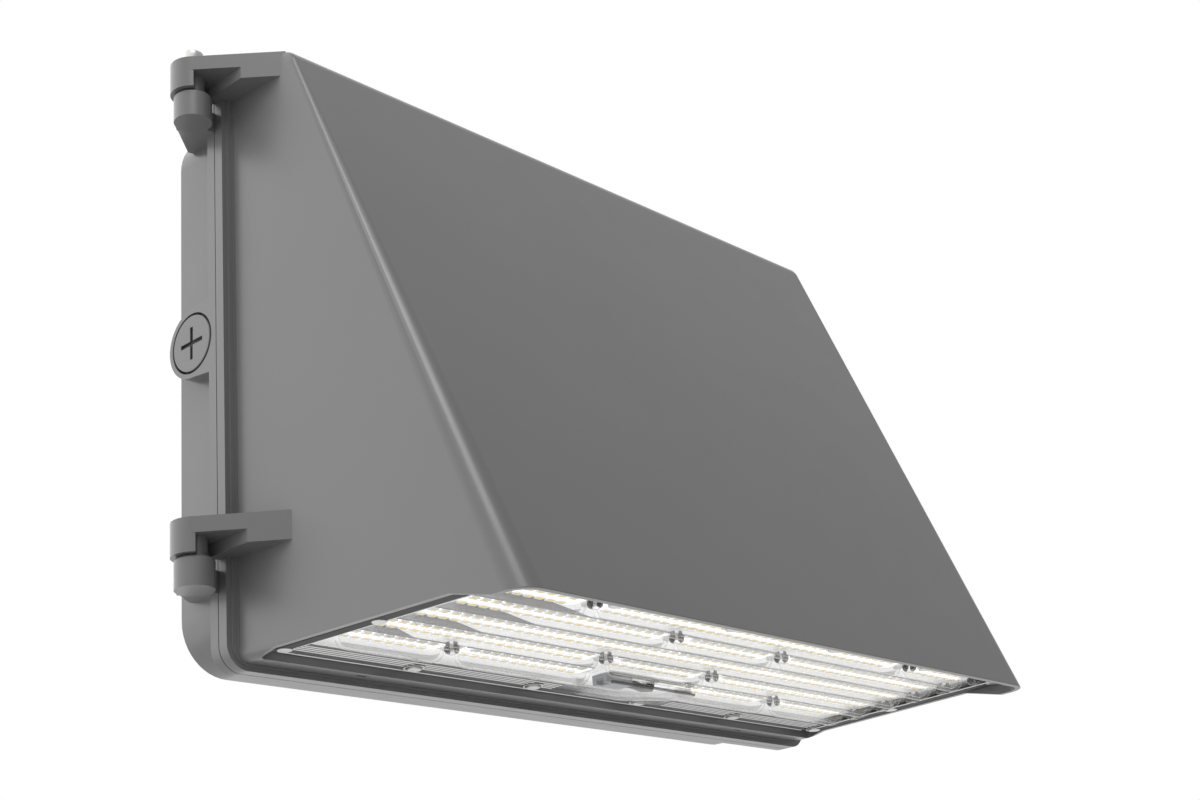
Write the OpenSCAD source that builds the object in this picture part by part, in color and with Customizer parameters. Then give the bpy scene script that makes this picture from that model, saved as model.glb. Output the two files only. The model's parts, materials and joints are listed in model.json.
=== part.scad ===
// Full cut-off wall pack light: a die-cast wall housing and a hooded door that swings on two pins.
// The wall is the plane Y = 0, the light stands forward to -Y, X runs to the right and Z up.
// A depth in this file is a distance forward from the wall.

/* [Housing] */
// Overall width of the housing and door flanges
flange_w = 342; // [320:1:380]
// Overall height of the housing and door flanges
flange_h = 242; // [230:1:270]
// Corner radius of both flanges
flange_r = 9.5; // [6:0.5:14]
// Thickness of the housing flange
flange_t = 4.5; // [3.5:0.1:6]
// How far the tray sides stand in from the flange edge
tray_inset = 6.3; // [5:0.1:7]
// Corner radius of the tray
tray_r = 20; // [16:1:26]
// Depth from the wall to the seam between housing and door
seam_depth = 31; // [30:0.5:40]
// Gap between the two metal flanges, bridged by the gasket
seam_gap = 0.4; // [0.2:0.05:0.8]
// Wall thickness of the cast housing
housing_wall = 3; // [2.5:0.1:3.6]

/* [Door hood] */
// Depth from the wall to the bottom lip of the hood
lip_depth = 169; // [160:1:190]
// Lean of the front face from the vertical, in degrees
front_lean = 22.2; // [19:0.1:24]
// Width of the hood where it leaves the flange
panel_w = 333.1; // [312:0.1:334]
// Draft of the side panels, in degrees
side_draft = 4.69; // [3:0.1:6]
// Radius between the top and the front face
brow_r = 9.5; // [6:0.5:12]
// Radius between front and side at the lip
lip_corner_r = 10.5; // [8:0.5:13]
// Wall thickness of the hood casting
hood_wall = 2.4; // [2.2:0.1:3]
// Thickness of the door flange
door_flange_t = 4.5; // [4:0.1:6]
// Height of the bottom face of the door above the flange's lower edge
door_sill = 2.7; // [2:0.1:3.5]
// Depth of the recess wall behind the lens
sill_depth = 44.5; // [43:0.5:48]

/* [Light engine] */
// Height of the lens face above the lip
lens_rise = 6; // [5.2:0.1:8]
// Thickness of the lens plate
lens_t = 1.5; // [1.2:0.1:2]
// Space between floor and lens for board and gasket
board_space = 2.6; // [2.4:0.1:3.2]
// Thickness of the casting floor that cools the board
floor_t = 3; // [2.4:0.1:3.6]
// Thickness of the board
board_t = 1.6; // [1:0.1:1.8]
// Depth of the rearmost row of light-emitting diodes
row_depth = 71.7; // [70:0.1:73]
// Distance from the front row to the front edge of the lens
row_front_gap = 18.4; // [17.5:0.1:21]
// Length of the rearmost row
row_l = 300; // [280:1:301]
// How much each row is shorter than the one behind it
row_step = 2.5; // [1.5:0.1:4]
// Half-width of the clear rib over each row
rib_r = 5.2; // [4.5:0.1:5.5]
// Wall of the clear rib
rib_wall = 1.2; // [1:0.1:1.6]

/* [Hinge] */
// Distance of the hinge axis outwards from the flange edge
hinge_out = 12.1; // [11.5:0.1:14]
// Distance of the hinge axis forward of the seam
hinge_fwd = 2.5; // [2:0.1:4]
// Radius of the knuckles on the door
knuckle_r = 8.7; // [8:0.1:9.5]
// Radius of the barrels on the housing
barrel_r = 7.4; // [6.5:0.1:8]
// Height of the barrels
barrel_h = 11.5; // [10:0.5:13]
// Radius of the hinge pins
pin_r = 2.4; // [2:0.1:2.8]
// Height of the top of the lower arm above the flange's lower edge
lower_arm_rise = 52.3; // [49:0.1:60]
// Depth of the knuckle below the top of its arm
knuckle_h = 13; // [12:0.5:15]
// Thickness of the plate on top of each arm
arm_plate_t = 6; // [5:0.5:7]
// Depth of the solid part of each arm
arm_h = 11; // [10:0.5:12]
// Angle of the outer face of each arm to the flange, in degrees
arm_angle = 45.8; // [40:0.1:50]

/* [Entries and fixings] */
// Outer radius of the closure plug, for a half-inch conduit thread
plug_r = 12; // [11.5:0.1:12.5]
// Radius of the conduit thread
thread_r = 10.6; // [10:0.05:10.8]
// Height of the side entries above the centre
plug_z = 11.4; // [0:0.1:20]
// Depth of the side entries from the wall
plug_depth = 15.6; // [15.3:0.1:16]
// Radius of the rear wire entry
wire_entry_r = 11.1; // [10:0.1:14]
// Height of the rear wire entry above the centre
wire_entry_z = 30; // [20:1:40]
// Spacing of the screw holes for an octagonal box
octagon_span = 88.9; // [80:0.1:92]
// Spacing of the screw holes for a single box
gang_span = 83.3; // [80:0.1:90]
// Horizontal spacing of the wall screw holes
wall_span_x = 260; // [200:1:280]
// Vertical spacing of the wall screw holes
wall_span_z = 160; // [140:1:170]
// Radius of the wall screw holes
wall_hole_r = 3.5; // [3:0.1:4]
// Radius of the box screw holes
box_hole_r = 2.5; // [2:0.1:3]
// Distance of the door screws in from the flange's top and bottom edges
door_screw_in = 41; // [31:1:60]
// Radius of the door screws
door_screw_r = 2.5; // [2:0.1:3]

/* [Hidden] */
$fn = 64;
hull_fn = 32;
cut = 1;
sides = [-1, 1];

// Colours
casting_grey = [0.46, 0.46, 0.46];
steel_grey = [0.72, 0.72, 0.70];
rubber_black = [0.12, 0.12, 0.12];
clear_tint = [0.85, 0.92, 0.95, 0.4];
board_white = [0.93, 0.93, 0.9];
chip_yellow = [0.95, 0.8, 0.35];
plastic_white = [0.88, 0.88, 0.85];
plastic_grey = [0.55, 0.56, 0.57];
brass_green = [0.2, 0.5, 0.25];

// Places of the two mating planes
housing_face = seam_depth - seam_gap / 2;
door_back = seam_depth + seam_gap / 2;
door_face = door_back + door_flange_t;
half_w = flange_w / 2;
half_h = flange_h / 2;
tray_w = flange_w - 2 * tray_inset;
tray_h = flange_h - 2 * tray_inset;
opening_w = tray_w - 2 * housing_wall;
opening_h = tray_h - 2 * housing_wall;
opening_r = tray_r - housing_wall;

// Gasket groove in the housing flange
groove_inset = 2.6;
groove_w = 4.5;
groove_t = 2.5;

// Hinge axis and pins
lower_arm_z = -half_h + lower_arm_rise;
hinge_x = -half_w - hinge_out;
hinge_depth = seam_depth + hinge_fwd;
hinge_gap = 0.5;
pin_clear = 0.05;
pin_seat_clear = 0.01;
pin_floor = 2;
pin_end_gap = 0.3;
pin_head_r = 3;
pin_head_h = 7;
barrel_edge = 0.8;
bracket_back_depth = 7;
bracket_reach = 3;
bracket_rise_angle = 8;
bracket_top_drop = 1.5;
arm_inner_x = 4.3;
arm_notch_near = 1.75;
arm_notch_far = 20.3;
pin_boss_r = 4.75;
arm_root_in = 8;
lower_pin_cap = 2.5;

// Step of the door flange and its ridge
ridge_inset = 2;
ridge_t = 1;
shoulder_inset = 4;
shoulder_t = 0.6;

// Hood outline
lip_z = -half_h;
sill_z = -half_h + door_sill;
panel_corner_r = 4;
brow_side_r = 2;
brow_side_shares = [0, 0.45, 0.8, 1];
top_edge_r = 3;
edge_foot_depth = 53;
edge_front_depth = lip_depth - 32;
edge_lip_depth = lip_depth - 14;
edge_rise = 4.5;
slice_t = 0.5;
recess_back_r = 2;
recess_front_r = 8;
drain_l = 4.5;
drain_w = 1.2;
drain_depth = 41;
drain_x = 113;

// Light engine levels
lens_face_z = lip_z + lens_rise;
lens_back_z = lens_face_z + lens_t;
floor_z = lens_back_z + board_space;
floor_top_z = floor_z + floor_t;
lens_clear = 0.4;
lens_back_clear = 0.5;
lens_front_gap = 0.6;
lens_corner_r = 7;
gasket_inset = 0.4;
gasket_w = 2;
rib_h = 4.5;
break_w = 12;
rows = 5;
outer_break_x = 96.4;
inner_break_x = 32.1;
chip_w = 1.4;
chip_line_gap = 4.2;
chip_t = 0.7;
row_end_gap = 4;
board_back_gap = 7.7;
board_front_gap = 6.7;
board_end_gap = 1.5;
m3_r = 1.5;
m3_head_r = 2.8;
m3_head_h = 1.8;
m3_clear = 0.2;
m3_shank = 6.5;
low_head_h = 0.9;
low_head_r = 2.9;
boss_r = 3.6;
boss_h = 3.6;
boss_cap_t = 1;
lens_boss_r = 4.4;
lens_ring_w = 0.9;
lens_ring_h = 0.9;
lens_screw_back = 7.5;
lens_screw_front = 6.4;
lens_screw_side = 4.3;

// Connector on the board, cable hole and grommet
connector_l = 16;
connector_w = 8;
connector_h = 4;
connector_x = -4;
connector_depth = 70;
cable_r = 1.8;
grommet_x = 20;
grommet_depth = 70;
grommet_r = 3.8;
grommet_flange_r = 5.4;
grommet_flange_t = 1.2;
grommet_bore_clear = 0.3;

// Window over the connector and the cable
window_end_room = 8;
window_back_room = 4;
window_front_room = 10;
window_left = connector_x - connector_l / 2 - window_end_room;
window_right = grommet_x + grommet_r + window_end_room;
window_back_depth = connector_depth - connector_w / 2 - window_back_room;
window_front_depth = connector_depth + connector_w / 2 + window_front_room;
window_h = 4;
window_wall = 1;

// Driver bracket on its posts
bracket_w = 64;
bracket_t = 2;
bracket_left_room = 11;
bracket_right_room = 14;
bracket_rise = 8;
post_r = 4.5;
post_edge = 8;
m4_r = 2;
m4_head_r = 3.8;
m4_head_h = 2.4;
m4_shank = 8;

// Driver, surge protector and supply connector
driver_l = 150;
driver_w = 60;
driver_h = 32;
driver_x = -35;
driver_cap_t = 4;
driver_foot_l = 9;
driver_foot_w = 20;
driver_foot_t = 1.6;
driver_edge_r = 2;
surge_l = 34;
surge_w = 22;
surge_h = 22;
surge_gap = 1;
surge_inset = 4.2;
foot_l = 7;
foot_t = 1.6;
supply_l = 22;
supply_w = 24;
supply_h = 17;
supply_inset = 5.7;
port_w = 4;
port_pitch = 6.5;
port_rise = 9;
port_deep = 9;

// Side entry bosses and closure plugs
plug_boss_r = 14.3;
plug_boss_spread = 16;
plug_boss_in = 9;
plug_rim_t = 2;
plug_seat_clear = 0.4;
plug_proud = 0.2;
plug_thread_l = 8.5;
plug_clear = 0.05;
plug_slot_l = 14;
plug_slot_w = 1.6;
plug_slot_deep = 1.2;
seal_t = 1;
seal_clear = 0.1;

// Lugs and captive screws on the closing side
lug_out = 7.5;
lug_r = 7.5;
housing_lug_t = 11;
door_lug_t = 6.8;
tap_clear = 0.35;
tap_deep = 9.3;
lug_hole_clear = 0.3;
door_screw_head_r = 4.5;
door_screw_head_h = 3.5;
door_screw_slot_w = 1.3;
door_screw_slot_deep = 1.4;
door_screw_engage = 8.5;
retainer_r = 4.4;
retainer_t = 1.1;
retainer_bore_clear = 0.1;
retainer_seat_clear = 0.2;

// Ground screw in the housing
ground_x = 70;
ground_z = -60;
ground_boss_r = 5;
ground_boss_h = 8;
ground_hole_deep = 6;

// Routes of the internal cables, as points chosen along their run
led_route = [[-110, -92, -78], [-122, -92, -78], [-132, -91, -81], [-139, -89, -88], [-140, -86, -96],
    [-135, -83, -102], [-124, -81, -104], [-100, -81, -104], [-60, -81, -104], [-20, -81, -104],
    [0, -80, -104], [10, -77, -104], [17, -72, -103], [20, -70, -106], [20, -70, -109],
    [20, -70, -112], [19, -70, -115], [14, -70, -115.5], [9, -70, -114.6], [4, -70, -114.6]];
supply_route = [[40, -80, -86], [48, -80, -86], [60, -79, -88], [72, -80, -89], [84, -80, -89]];
surge_route = [[84, -111, -88], [89, -111, -88], [94, -107, -88], [95, -101, -88], [95, -92, -88]];
supply_cable_r = 2.6;
surge_cable_r = 1.8;
cable_sides = 8;
cable_ring_gap = 3;

// Half-width of the side panels at a depth, and depth of the front face at a height
function panel_half(d) = panel_w / 2 - (d - door_face) * tan(side_draft);
function front_depth(z) = lip_depth - (z - lip_z) * tan(front_lean);
// Depth of the axis of the round between front and top
brow_z = half_h - brow_r;
brow_depth = front_depth(brow_z) - brow_r / cos(front_lean);

// Places of the rows and of the screws
function row_at(k) = row_depth + (rows - k) * row_pitch;
function row_half(k) = (row_l - (rows - k) * row_step * 2) / 2;
function row_break(k) = (k == 1 || k == rows) ? outer_break_x : (k == 3) ? 0 : inner_break_x;
function lens_half(d) = panel_half(d) - hood_wall - lens_clear;
lens_back_depth = sill_depth + lens_back_clear;
lens_front_depth = front_depth(floor_z) - hood_wall / cos(front_lean) - lens_front_gap;
row_pitch = (lens_front_depth - row_front_gap - row_depth) / (rows - 1);
screw_back_depth = sill_depth + lens_screw_back;
screw_front_depth = lens_front_depth - lens_screw_front;
door_screw_z = half_h - door_screw_in;
lens_screw_mid_depth = (row_at(3) + row_at(4)) / 2;
function side_screw_x(d) = lens_half(d) - lens_screw_side;
lens_screw_rows = [[screw_back_depth, [inner_break_x, outer_break_x, side_screw_x(screw_back_depth)]],
    [lens_screw_mid_depth, [side_screw_x(lens_screw_mid_depth)]],
    [screw_front_depth, [inner_break_x, outer_break_x, side_screw_x(screw_front_depth)]]];
lens_screw_places = [for (row = lens_screw_rows) for (x = row[1]) for (s = sides) [s * x, -row[0]]];
board_screw_places = [for (k = [1, 2, 4, 5]) for (s = sides) [s * row_break(k), -row_at(k)]];

// Places on the driver bracket, which runs under all that it carries
bracket_z = floor_top_z + bracket_rise;
bracket_top_z = bracket_z + bracket_t;
hood_front_inside = front_depth(bracket_top_z + driver_h) - hood_wall / cos(front_lean);
bracket_depth = (sill_depth + hood_front_inside) / 2;
surge_x = driver_x + driver_l / 2 + driver_foot_l + surge_gap + surge_l / 2;
surge_depth = bracket_depth + bracket_w / 2 - surge_w / 2 - surge_inset;
supply_x = surge_x + surge_l / 2 + supply_l / 2;
supply_depth = bracket_depth - bracket_w / 2 + supply_w / 2 + supply_inset;
bracket_left = driver_x - driver_l / 2 - driver_foot_l - bracket_left_room;
bracket_right = supply_x + supply_l / 2 + bracket_right_room;
bracket_l = bracket_right - bracket_left;
bracket_x = (bracket_left + bracket_right) / 2;
post_places = [for (sx = sides) for (sy = sides)
    [bracket_x + sx * (bracket_l / 2 - post_edge), -bracket_depth + sy * (bracket_w / 2 - post_edge)]];
lug_x = half_w + lug_out;

// Segments of a row between its ends and its breaks: [start, end] pairs
function row_cuts(k) = k == 3 ? []
    : k == rows ? [[-outer_break_x, break_w / 2], [(window_left + window_right) / 2,
        (window_right - window_left) / 2], [outer_break_x, break_w / 2]]
    : [[-row_break(k), break_w / 2], [row_break(k), break_w / 2]];
function row_segments(k, margin) = let (c = row_cuts(k), n = len(c))
    [for (i = [0 : n]) [margin + (i == 0 ? -row_half(k) : c[i - 1][0] + c[i - 1][1]),
        (i == n ? row_half(k) : c[i][0] - c[i][1]) - margin]];

// Swept tube along smooth points
function bend(p0, p1, p2, p3, t) = 0.5 * ((2 * p1) + (p2 - p0) * t
    + (2 * p0 - 5 * p1 + 4 * p2 - p3) * t * t + (3 * p1 - p0 - 3 * p2 + p3) * t * t * t);
function steps(a, b) = max(1, ceil(norm(b - a) / (cable_ring_gap * 2 * cable_r)));
function smooth(route) = let (n = len(route))
    [for (i = [0 : n - 2]) let (m = steps(route[i], route[i + 1]))
        for (j = [0 : m - 1]) bend(route[max(i - 1, 0)], route[i], route[i + 1],
            route[min(i + 2, n - 1)], j / m), route[n - 1]];
function unit(v) = v / norm(v);
function tangent(p, i) = unit(p[min(i + 1, len(p) - 1)] - p[max(i - 1, 0)]);
function carried(u, t) = unit(u - (u * t) * t);
function frames(p, i = 0, u = [0, 0, 1]) = i == len(p) ? []
    : let (t = tangent(p, i), c = carried(norm(cross(u, t)) < 0.1 ? [0, 1, 0] : u, t))
        concat([[c, cross(t, c)]], frames(p, i + 1, c));

// Rounded rectangle drawn flat
module plate2d(w, h, r) {
    square([w - 2 * r, h], center = true);
    square([w, h - 2 * r], center = true);
    for (sx = sides)
        for (sy = sides)
            translate([sx * (w / 2 - r), sy * (h / 2 - r)])
                circle(r);
}

// Stands a flat drawing on the wall side and raises it forward between two depths
module between(d0, d1) {
    translate([0, -d0, 0])
        rotate([90, 0, 0])
            linear_extrude(d1 - d0)
                children();
}

// Slab with rounded corners between two depths
module slab(w, h, r, d0, d1) {
    between(d0, d1)
        plate2d(w, h, r);
}

// Tube of a cable along its route
module tube(route, r) {
    p = smooth(route);
    f = frames(p);
    n = len(p);
    points = [for (i = [0 : n - 1]) for (a = [0 : cable_sides - 1])
        p[i] + r * (cos(360 * a / cable_sides) * f[i][0] + sin(360 * a / cable_sides) * f[i][1])];
    walls = [for (i = [0 : n - 2]) for (a = [0 : cable_sides - 1])
        let (b = (a + 1) % cable_sides)
            [i * cable_sides + a, i * cable_sides + b, (i + 1) * cable_sides + b,
                (i + 1) * cable_sides + a]];
    start = [for (a = [cable_sides - 1 : -1 : 0]) a];
    finish = [for (a = [0 : cable_sides - 1]) (n - 1) * cable_sides + a];
    polyhedron(points, concat([start], walls, [finish]), convexity = 6);
}

// Pan-head screw pointing up from its head, for screws driven from below
module screw_up(r, head_r, head_h, shank) {
    translate([0, 0, -head_h])
        cylinder(r = head_r, h = head_h);
    cylinder(r = r, h = shank);
}

// Hinge barrel on the housing with its bracket, its top at height z
module barrel(z) {
    translate([hinge_x, -hinge_depth, z - barrel_h]) {
        cylinder(r = barrel_r, h = barrel_h - barrel_edge);
        translate([0, 0, barrel_h - barrel_edge])
            cylinder(r1 = barrel_r, r2 = barrel_r - barrel_edge, h = barrel_edge);
    }
    difference() {
        translate([0, 0, z - barrel_h])
            linear_extrude(barrel_h - bracket_top_drop)
                polygon([[hinge_x - barrel_r * 0.95, -hinge_depth + barrel_r * 0.3],
                    [hinge_x - barrel_r * 0.5, -hinge_depth + barrel_r * 0.86],
                    [-tray_w / 2 - tray_inset / 4, -bracket_back_depth],
                    [-tray_w / 2 + bracket_reach, -bracket_back_depth],
                    [-tray_w / 2 + bracket_reach, -housing_face],
                    [-half_w, -housing_face],
                    [hinge_x + barrel_r * 0.9, -hinge_depth + barrel_r * 0.3]]);
        translate([hinge_x, -hinge_depth, z - barrel_h])
            rotate([0, 0, arm_angle])
                rotate([0, -bracket_rise_angle, 0])
                    translate([barrel_r * 0.7, -hinge_out * 2, -barrel_h])
                        cube([hinge_out * 4, hinge_out * 4, barrel_h]);
    }
}

// Boss of a side entry, flush with the flange edge
module entry_boss() {
    translate([-half_w, 0, plug_z])
        rotate([90, 0, 90])
            linear_extrude(tray_inset + plug_boss_in) {
                translate([-plug_depth, 0])
                    circle(plug_boss_r);
                polygon([[-plug_depth, plug_boss_r], [-housing_face, plug_boss_spread],
                    [-housing_face, -plug_boss_spread], [-plug_depth, -plug_boss_r]]);
            }
}

// Bore of a side entry with the seat of its plug
module entry_bore() {
    translate([-half_w, -plug_depth, plug_z])
        rotate([0, 90, 0]) {
            translate([0, 0, -cut])
                cylinder(r = thread_r, h = tray_inset + plug_boss_in + 2 * cut);
            translate([0, 0, -cut])
                cylinder(r = plug_r + plug_seat_clear, h = plug_rim_t + seal_t + cut);
        }
}

// Lug for a door screw between two depths
module lug(s, d0, d1) {
    between(d0, d1) {
        translate([lug_x, s * door_screw_z])
            circle(lug_r);
        translate([tray_w / 2 - housing_wall / 2, s * door_screw_z - lug_r])
            square([lug_x - tray_w / 2 + housing_wall / 2, 2 * lug_r]);
    }
}

// Round bar standing forward at a place on the wall plane, between two depths
module bar(x, z, r, d0, d1) {
    translate([x, -d0, z])
        rotate([90, 0, 0])
            cylinder(r = r, h = d1 - d0);
}

module back_housing() {
    color(casting_grey)
    difference() {
        union() {
            difference() {
                union() {
                    slab(tray_w, tray_h, tray_r, 0, housing_face);
                    slab(flange_w, flange_h, flange_r, housing_face - flange_t, housing_face);
                    for (s = sides)
                        lug(s, housing_face - housing_lug_t, housing_face);
                }
                slab(opening_w, opening_h, opening_r, housing_wall, housing_face + cut);
            }
            entry_boss();
            mirror([1, 0, 0])
                entry_boss();
            barrel(half_h - knuckle_h - hinge_gap);
            barrel(lower_arm_z - knuckle_h - hinge_gap);
            bar(ground_x, ground_z, ground_boss_r, housing_wall / 2, housing_wall / 2 + ground_boss_h);
        }
        difference() {
            slab(flange_w - 2 * groove_inset, flange_h - 2 * groove_inset, flange_r - groove_inset,
                housing_face - groove_t, housing_face + cut);
            slab(flange_w - 2 * groove_inset - 2 * groove_w, flange_h - 2 * groove_inset - 2 * groove_w,
                flange_r - groove_inset - groove_w, housing_face - groove_t - cut, housing_face + 2 * cut);
        }
        entry_bore();
        mirror([1, 0, 0])
            entry_bore();
        bar(0, wire_entry_z, wire_entry_r, -cut, housing_wall + cut);
        for (s = sides) {
            bar(s * octagon_span / 2, wire_entry_z, box_hole_r, -cut, housing_wall + cut);
            bar(0, wire_entry_z + s * gang_span / 2, box_hole_r, -cut, housing_wall + cut);
            bar(lug_x, s * door_screw_z, door_screw_r + tap_clear,
                housing_face - tap_deep, housing_face + cut);
        }
        for (sx = sides)
            for (sz = sides)
                bar(sx * wall_span_x / 2, sz * wall_span_z / 2, wall_hole_r, -cut, housing_wall + cut);
        bar(ground_x, ground_z, m4_r, housing_wall / 2 + ground_boss_h - ground_hole_deep,
            housing_wall / 2 + ground_boss_h + cut);
        for (z = [half_h, lower_arm_z])
            translate([hinge_x, -hinge_depth, z - knuckle_h - hinge_gap - barrel_h + pin_floor])
                cylinder(r = pin_r + pin_seat_clear, h = barrel_h);
    }
}

module door_gasket() {
    color(rubber_black)
    difference() {
        slab(flange_w - 2 * groove_inset, flange_h - 2 * groove_inset, flange_r - groove_inset,
            housing_face - groove_t, door_back);
        slab(flange_w - 2 * groove_inset - 2 * groove_w, flange_h - 2 * groove_inset - 2 * groove_w,
            flange_r - groove_inset - groove_w, housing_face - groove_t - cut, door_back + cut);
    }
}

module hinge_pin_upper() {
    bottom = half_h - knuckle_h - hinge_gap - barrel_h + pin_floor;
    color(steel_grey)
    translate([hinge_x, -hinge_depth, 0]) {
        translate([0, 0, bottom])
            cylinder(r = pin_r, h = half_h + pin_end_gap - bottom);
        translate([0, 0, half_h + pin_end_gap])
            cylinder(r = pin_head_r, h = pin_head_h - pin_head_r / 2);
        translate([0, 0, half_h + pin_end_gap + pin_head_h - pin_head_r / 2])
            cylinder(r1 = pin_head_r, r2 = pin_head_r / 2, h = pin_head_r / 2);
    }
}

module hinge_pin_lower() {
    bottom = lower_arm_z - knuckle_h - hinge_gap - barrel_h + pin_floor;
    color(steel_grey)
    translate([hinge_x, -hinge_depth, bottom])
        cylinder(r = pin_r, h = lower_arm_z - lower_pin_cap - pin_end_gap - bottom);
}

module ground_screw() {
    top = housing_wall / 2 + ground_boss_h;
    color(brass_green)
    difference() {
        union() {
            bar(ground_x, ground_z, m4_r - pin_seat_clear, top - ground_hole_deep + pin_end_gap, top);
            bar(ground_x, ground_z, m4_head_r, top, top + m4_head_h);
        }
        translate([ground_x - m4_head_r - cut, -top - m4_head_h - cut, ground_z - m4_r / 4])
            cube([2 * m4_head_r + 2 * cut, m4_head_h / 2 + cut, m4_r / 2]);
    }
}

module plug_seals() {
    color(rubber_black)
    for (s = sides)
        translate([s * (half_w - plug_rim_t - seal_t), -plug_depth, plug_z])
            rotate([0, s * 90, 0])
                difference() {
                    cylinder(r = plug_r, h = seal_t);
                    translate([0, 0, -cut])
                        cylinder(r = thread_r + seal_clear, h = seal_t + 2 * cut);
                }
}

// Closure plug with its rim flush in the boss and a cross of slots
module plug() {
    translate([half_w, -plug_depth, plug_z])
        rotate([0, 90, 0])
            difference() {
                union() {
                    translate([0, 0, -plug_rim_t])
                        cylinder(r = plug_r, h = plug_rim_t + plug_proud);
                    translate([0, 0, -plug_rim_t - plug_thread_l])
                        cylinder(r = thread_r - plug_clear, h = plug_thread_l);
                }
                for (a = [0, 90])
                    rotate([0, 0, a])
                        translate([-plug_slot_l / 2, -plug_slot_w / 2, plug_proud - plug_slot_deep])
                            cube([plug_slot_l, plug_slot_w, plug_slot_deep + cut]);
            }
}

module plug_left() {
    color(casting_grey)
    mirror([1, 0, 0])
        plug();
}

module plug_right() {
    color(casting_grey)
    plug();
}

// Hinge arm in plan: the knuckle and the plate back to the hood panel
module arm_plan() {
    c = cos(arm_angle);
    s = sin(arm_angle);
    reach = (hinge_out + arm_root_in + knuckle_r * s) / c;
    polygon([[hinge_x - knuckle_r * s, -hinge_depth - knuckle_r * c],
        [-half_w + arm_root_in, -hinge_depth - knuckle_r * c - reach * s],
        [-half_w + arm_root_in, -door_back],
        [-half_w, -door_back],
        [hinge_x + knuckle_r * c, -hinge_depth + knuckle_r * s]]);
    translate([hinge_x, -hinge_depth])
        circle(knuckle_r);
}

// Hinge arm with its top at height z
module arm(z) {
    big = 6 * hinge_out;
    translate([0, 0, z - arm_plate_t])
        linear_extrude(arm_plate_t)
            arm_plan();
    translate([0, 0, z - arm_h])
        linear_extrude(arm_h)
            intersection() {
                arm_plan();
                union() {
                    translate([-half_w - arm_inner_x, -hinge_depth - big])
                        square([big, 2 * big]);
                    translate([hinge_x, -hinge_depth])
                        rotate(180 - arm_angle)
                            translate([-arm_notch_far - big, -big])
                                square([big, 2 * big]);
                }
            }
    translate([hinge_x, -hinge_depth, z - knuckle_h]) {
        cylinder(r = pin_boss_r, h = knuckle_h);
        linear_extrude(knuckle_h)
            intersection() {
                circle(knuckle_r);
                rotate(180 - arm_angle)
                    translate([-arm_notch_near, -big])
                        square([big, 2 * big]);
            }
    }
}

// Outer skin of the hood as one convex body
module hood_skin() {
    c = cos(side_draft);
    hull() {
        for (s = sides) {
            translate([s * (panel_half(lip_depth - lip_corner_r) - lip_corner_r / c),
                -lip_depth + lip_corner_r, lip_z])
                cylinder(r = lip_corner_r, h = slice_t, $fn = 2 * hull_fn);
            translate([s * (panel_half(edge_lip_depth) - panel_corner_r / 2), -edge_lip_depth, lip_z])
                cylinder(r = panel_corner_r / 2, h = slice_t, $fn = hull_fn);
            translate([s * (panel_half(door_face) - panel_corner_r), slice_t - door_face,
                sill_z + panel_corner_r])
                rotate([90, 0, 0])
                    cylinder(r = panel_corner_r, h = slice_t, $fn = hull_fn);
            translate([s * (panel_half(sill_depth) - panel_corner_r), -sill_depth, sill_z + panel_corner_r])
                rotate([90, 0, 0])
                    cylinder(r = panel_corner_r, h = slice_t, $fn = hull_fn);
            translate([s * (panel_half(door_face) - top_edge_r), slice_t - door_face, half_h - top_edge_r])
                rotate([90, 0, 0])
                    cylinder(r = top_edge_r, h = slice_t, $fn = hull_fn);
        }
        for (share = brow_side_shares)
            translate([0, -brow_depth, brow_z])
                rotate([0, 90, 0])
                    cylinder(r = brow_r - brow_side_r * (1 - sqrt(1 - share * share)),
                        h = 2 * (panel_half(brow_depth) - brow_side_r * (1 - share)),
                        center = true, $fn = 2 * hull_fn);
    }
}

// Space inside the hood above the casting floor
module hood_space() {
    c = cos(side_draft);
    skin = hood_wall / cos(front_lean);
    inner_r = lip_corner_r - hood_wall;
    floor_front = front_depth(floor_top_z) - skin;
    hull() {
        for (s = sides) {
            translate([s * (panel_half(floor_front - inner_r) - hood_wall - inner_r / c),
                -floor_front + inner_r, floor_top_z])
                cylinder(r = inner_r, h = slice_t, $fn = hull_fn);
            translate([s * (panel_half(sill_depth) - hood_wall - top_edge_r), -sill_depth, floor_top_z])
                cylinder(r = top_edge_r, h = slice_t, $fn = hull_fn);
            translate([s * (panel_half(door_face) - hood_wall - top_edge_r), -door_face - top_edge_r,
                half_h - hood_wall - top_edge_r])
                sphere(r = top_edge_r, $fn = hull_fn);
            translate([s * (panel_half(door_face) - hood_wall - top_edge_r), -door_face - top_edge_r,
                floor_top_z])
                cylinder(r = top_edge_r, h = slice_t, $fn = hull_fn);
        }
        translate([0, -brow_depth, brow_z])
            rotate([0, 90, 0])
                cylinder(r = brow_r - hood_wall, h = 2 * (panel_half(brow_depth) - hood_wall - brow_side_r),
                    center = true, $fn = hull_fn);
    }
}

// Open recess under the casting floor, with the lens in it
module light_recess() {
    c = cos(side_draft);
    skin = hood_wall / cos(front_lean);
    hull()
        for (z = [floor_z - slice_t, lip_z - cut])
            for (s = sides) {
                front = front_depth(z) - skin - recess_front_r;
                translate([s * (panel_half(front) - hood_wall - recess_front_r / c), -front, z])
                    cylinder(r = recess_front_r, h = slice_t, $fn = hull_fn);
                translate([s * (panel_half(sill_depth + recess_back_r) - hood_wall - recess_back_r),
                    -sill_depth - recess_back_r, z])
                    cylinder(r = recess_back_r, h = slice_t, $fn = hull_fn);
            }
}

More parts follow.
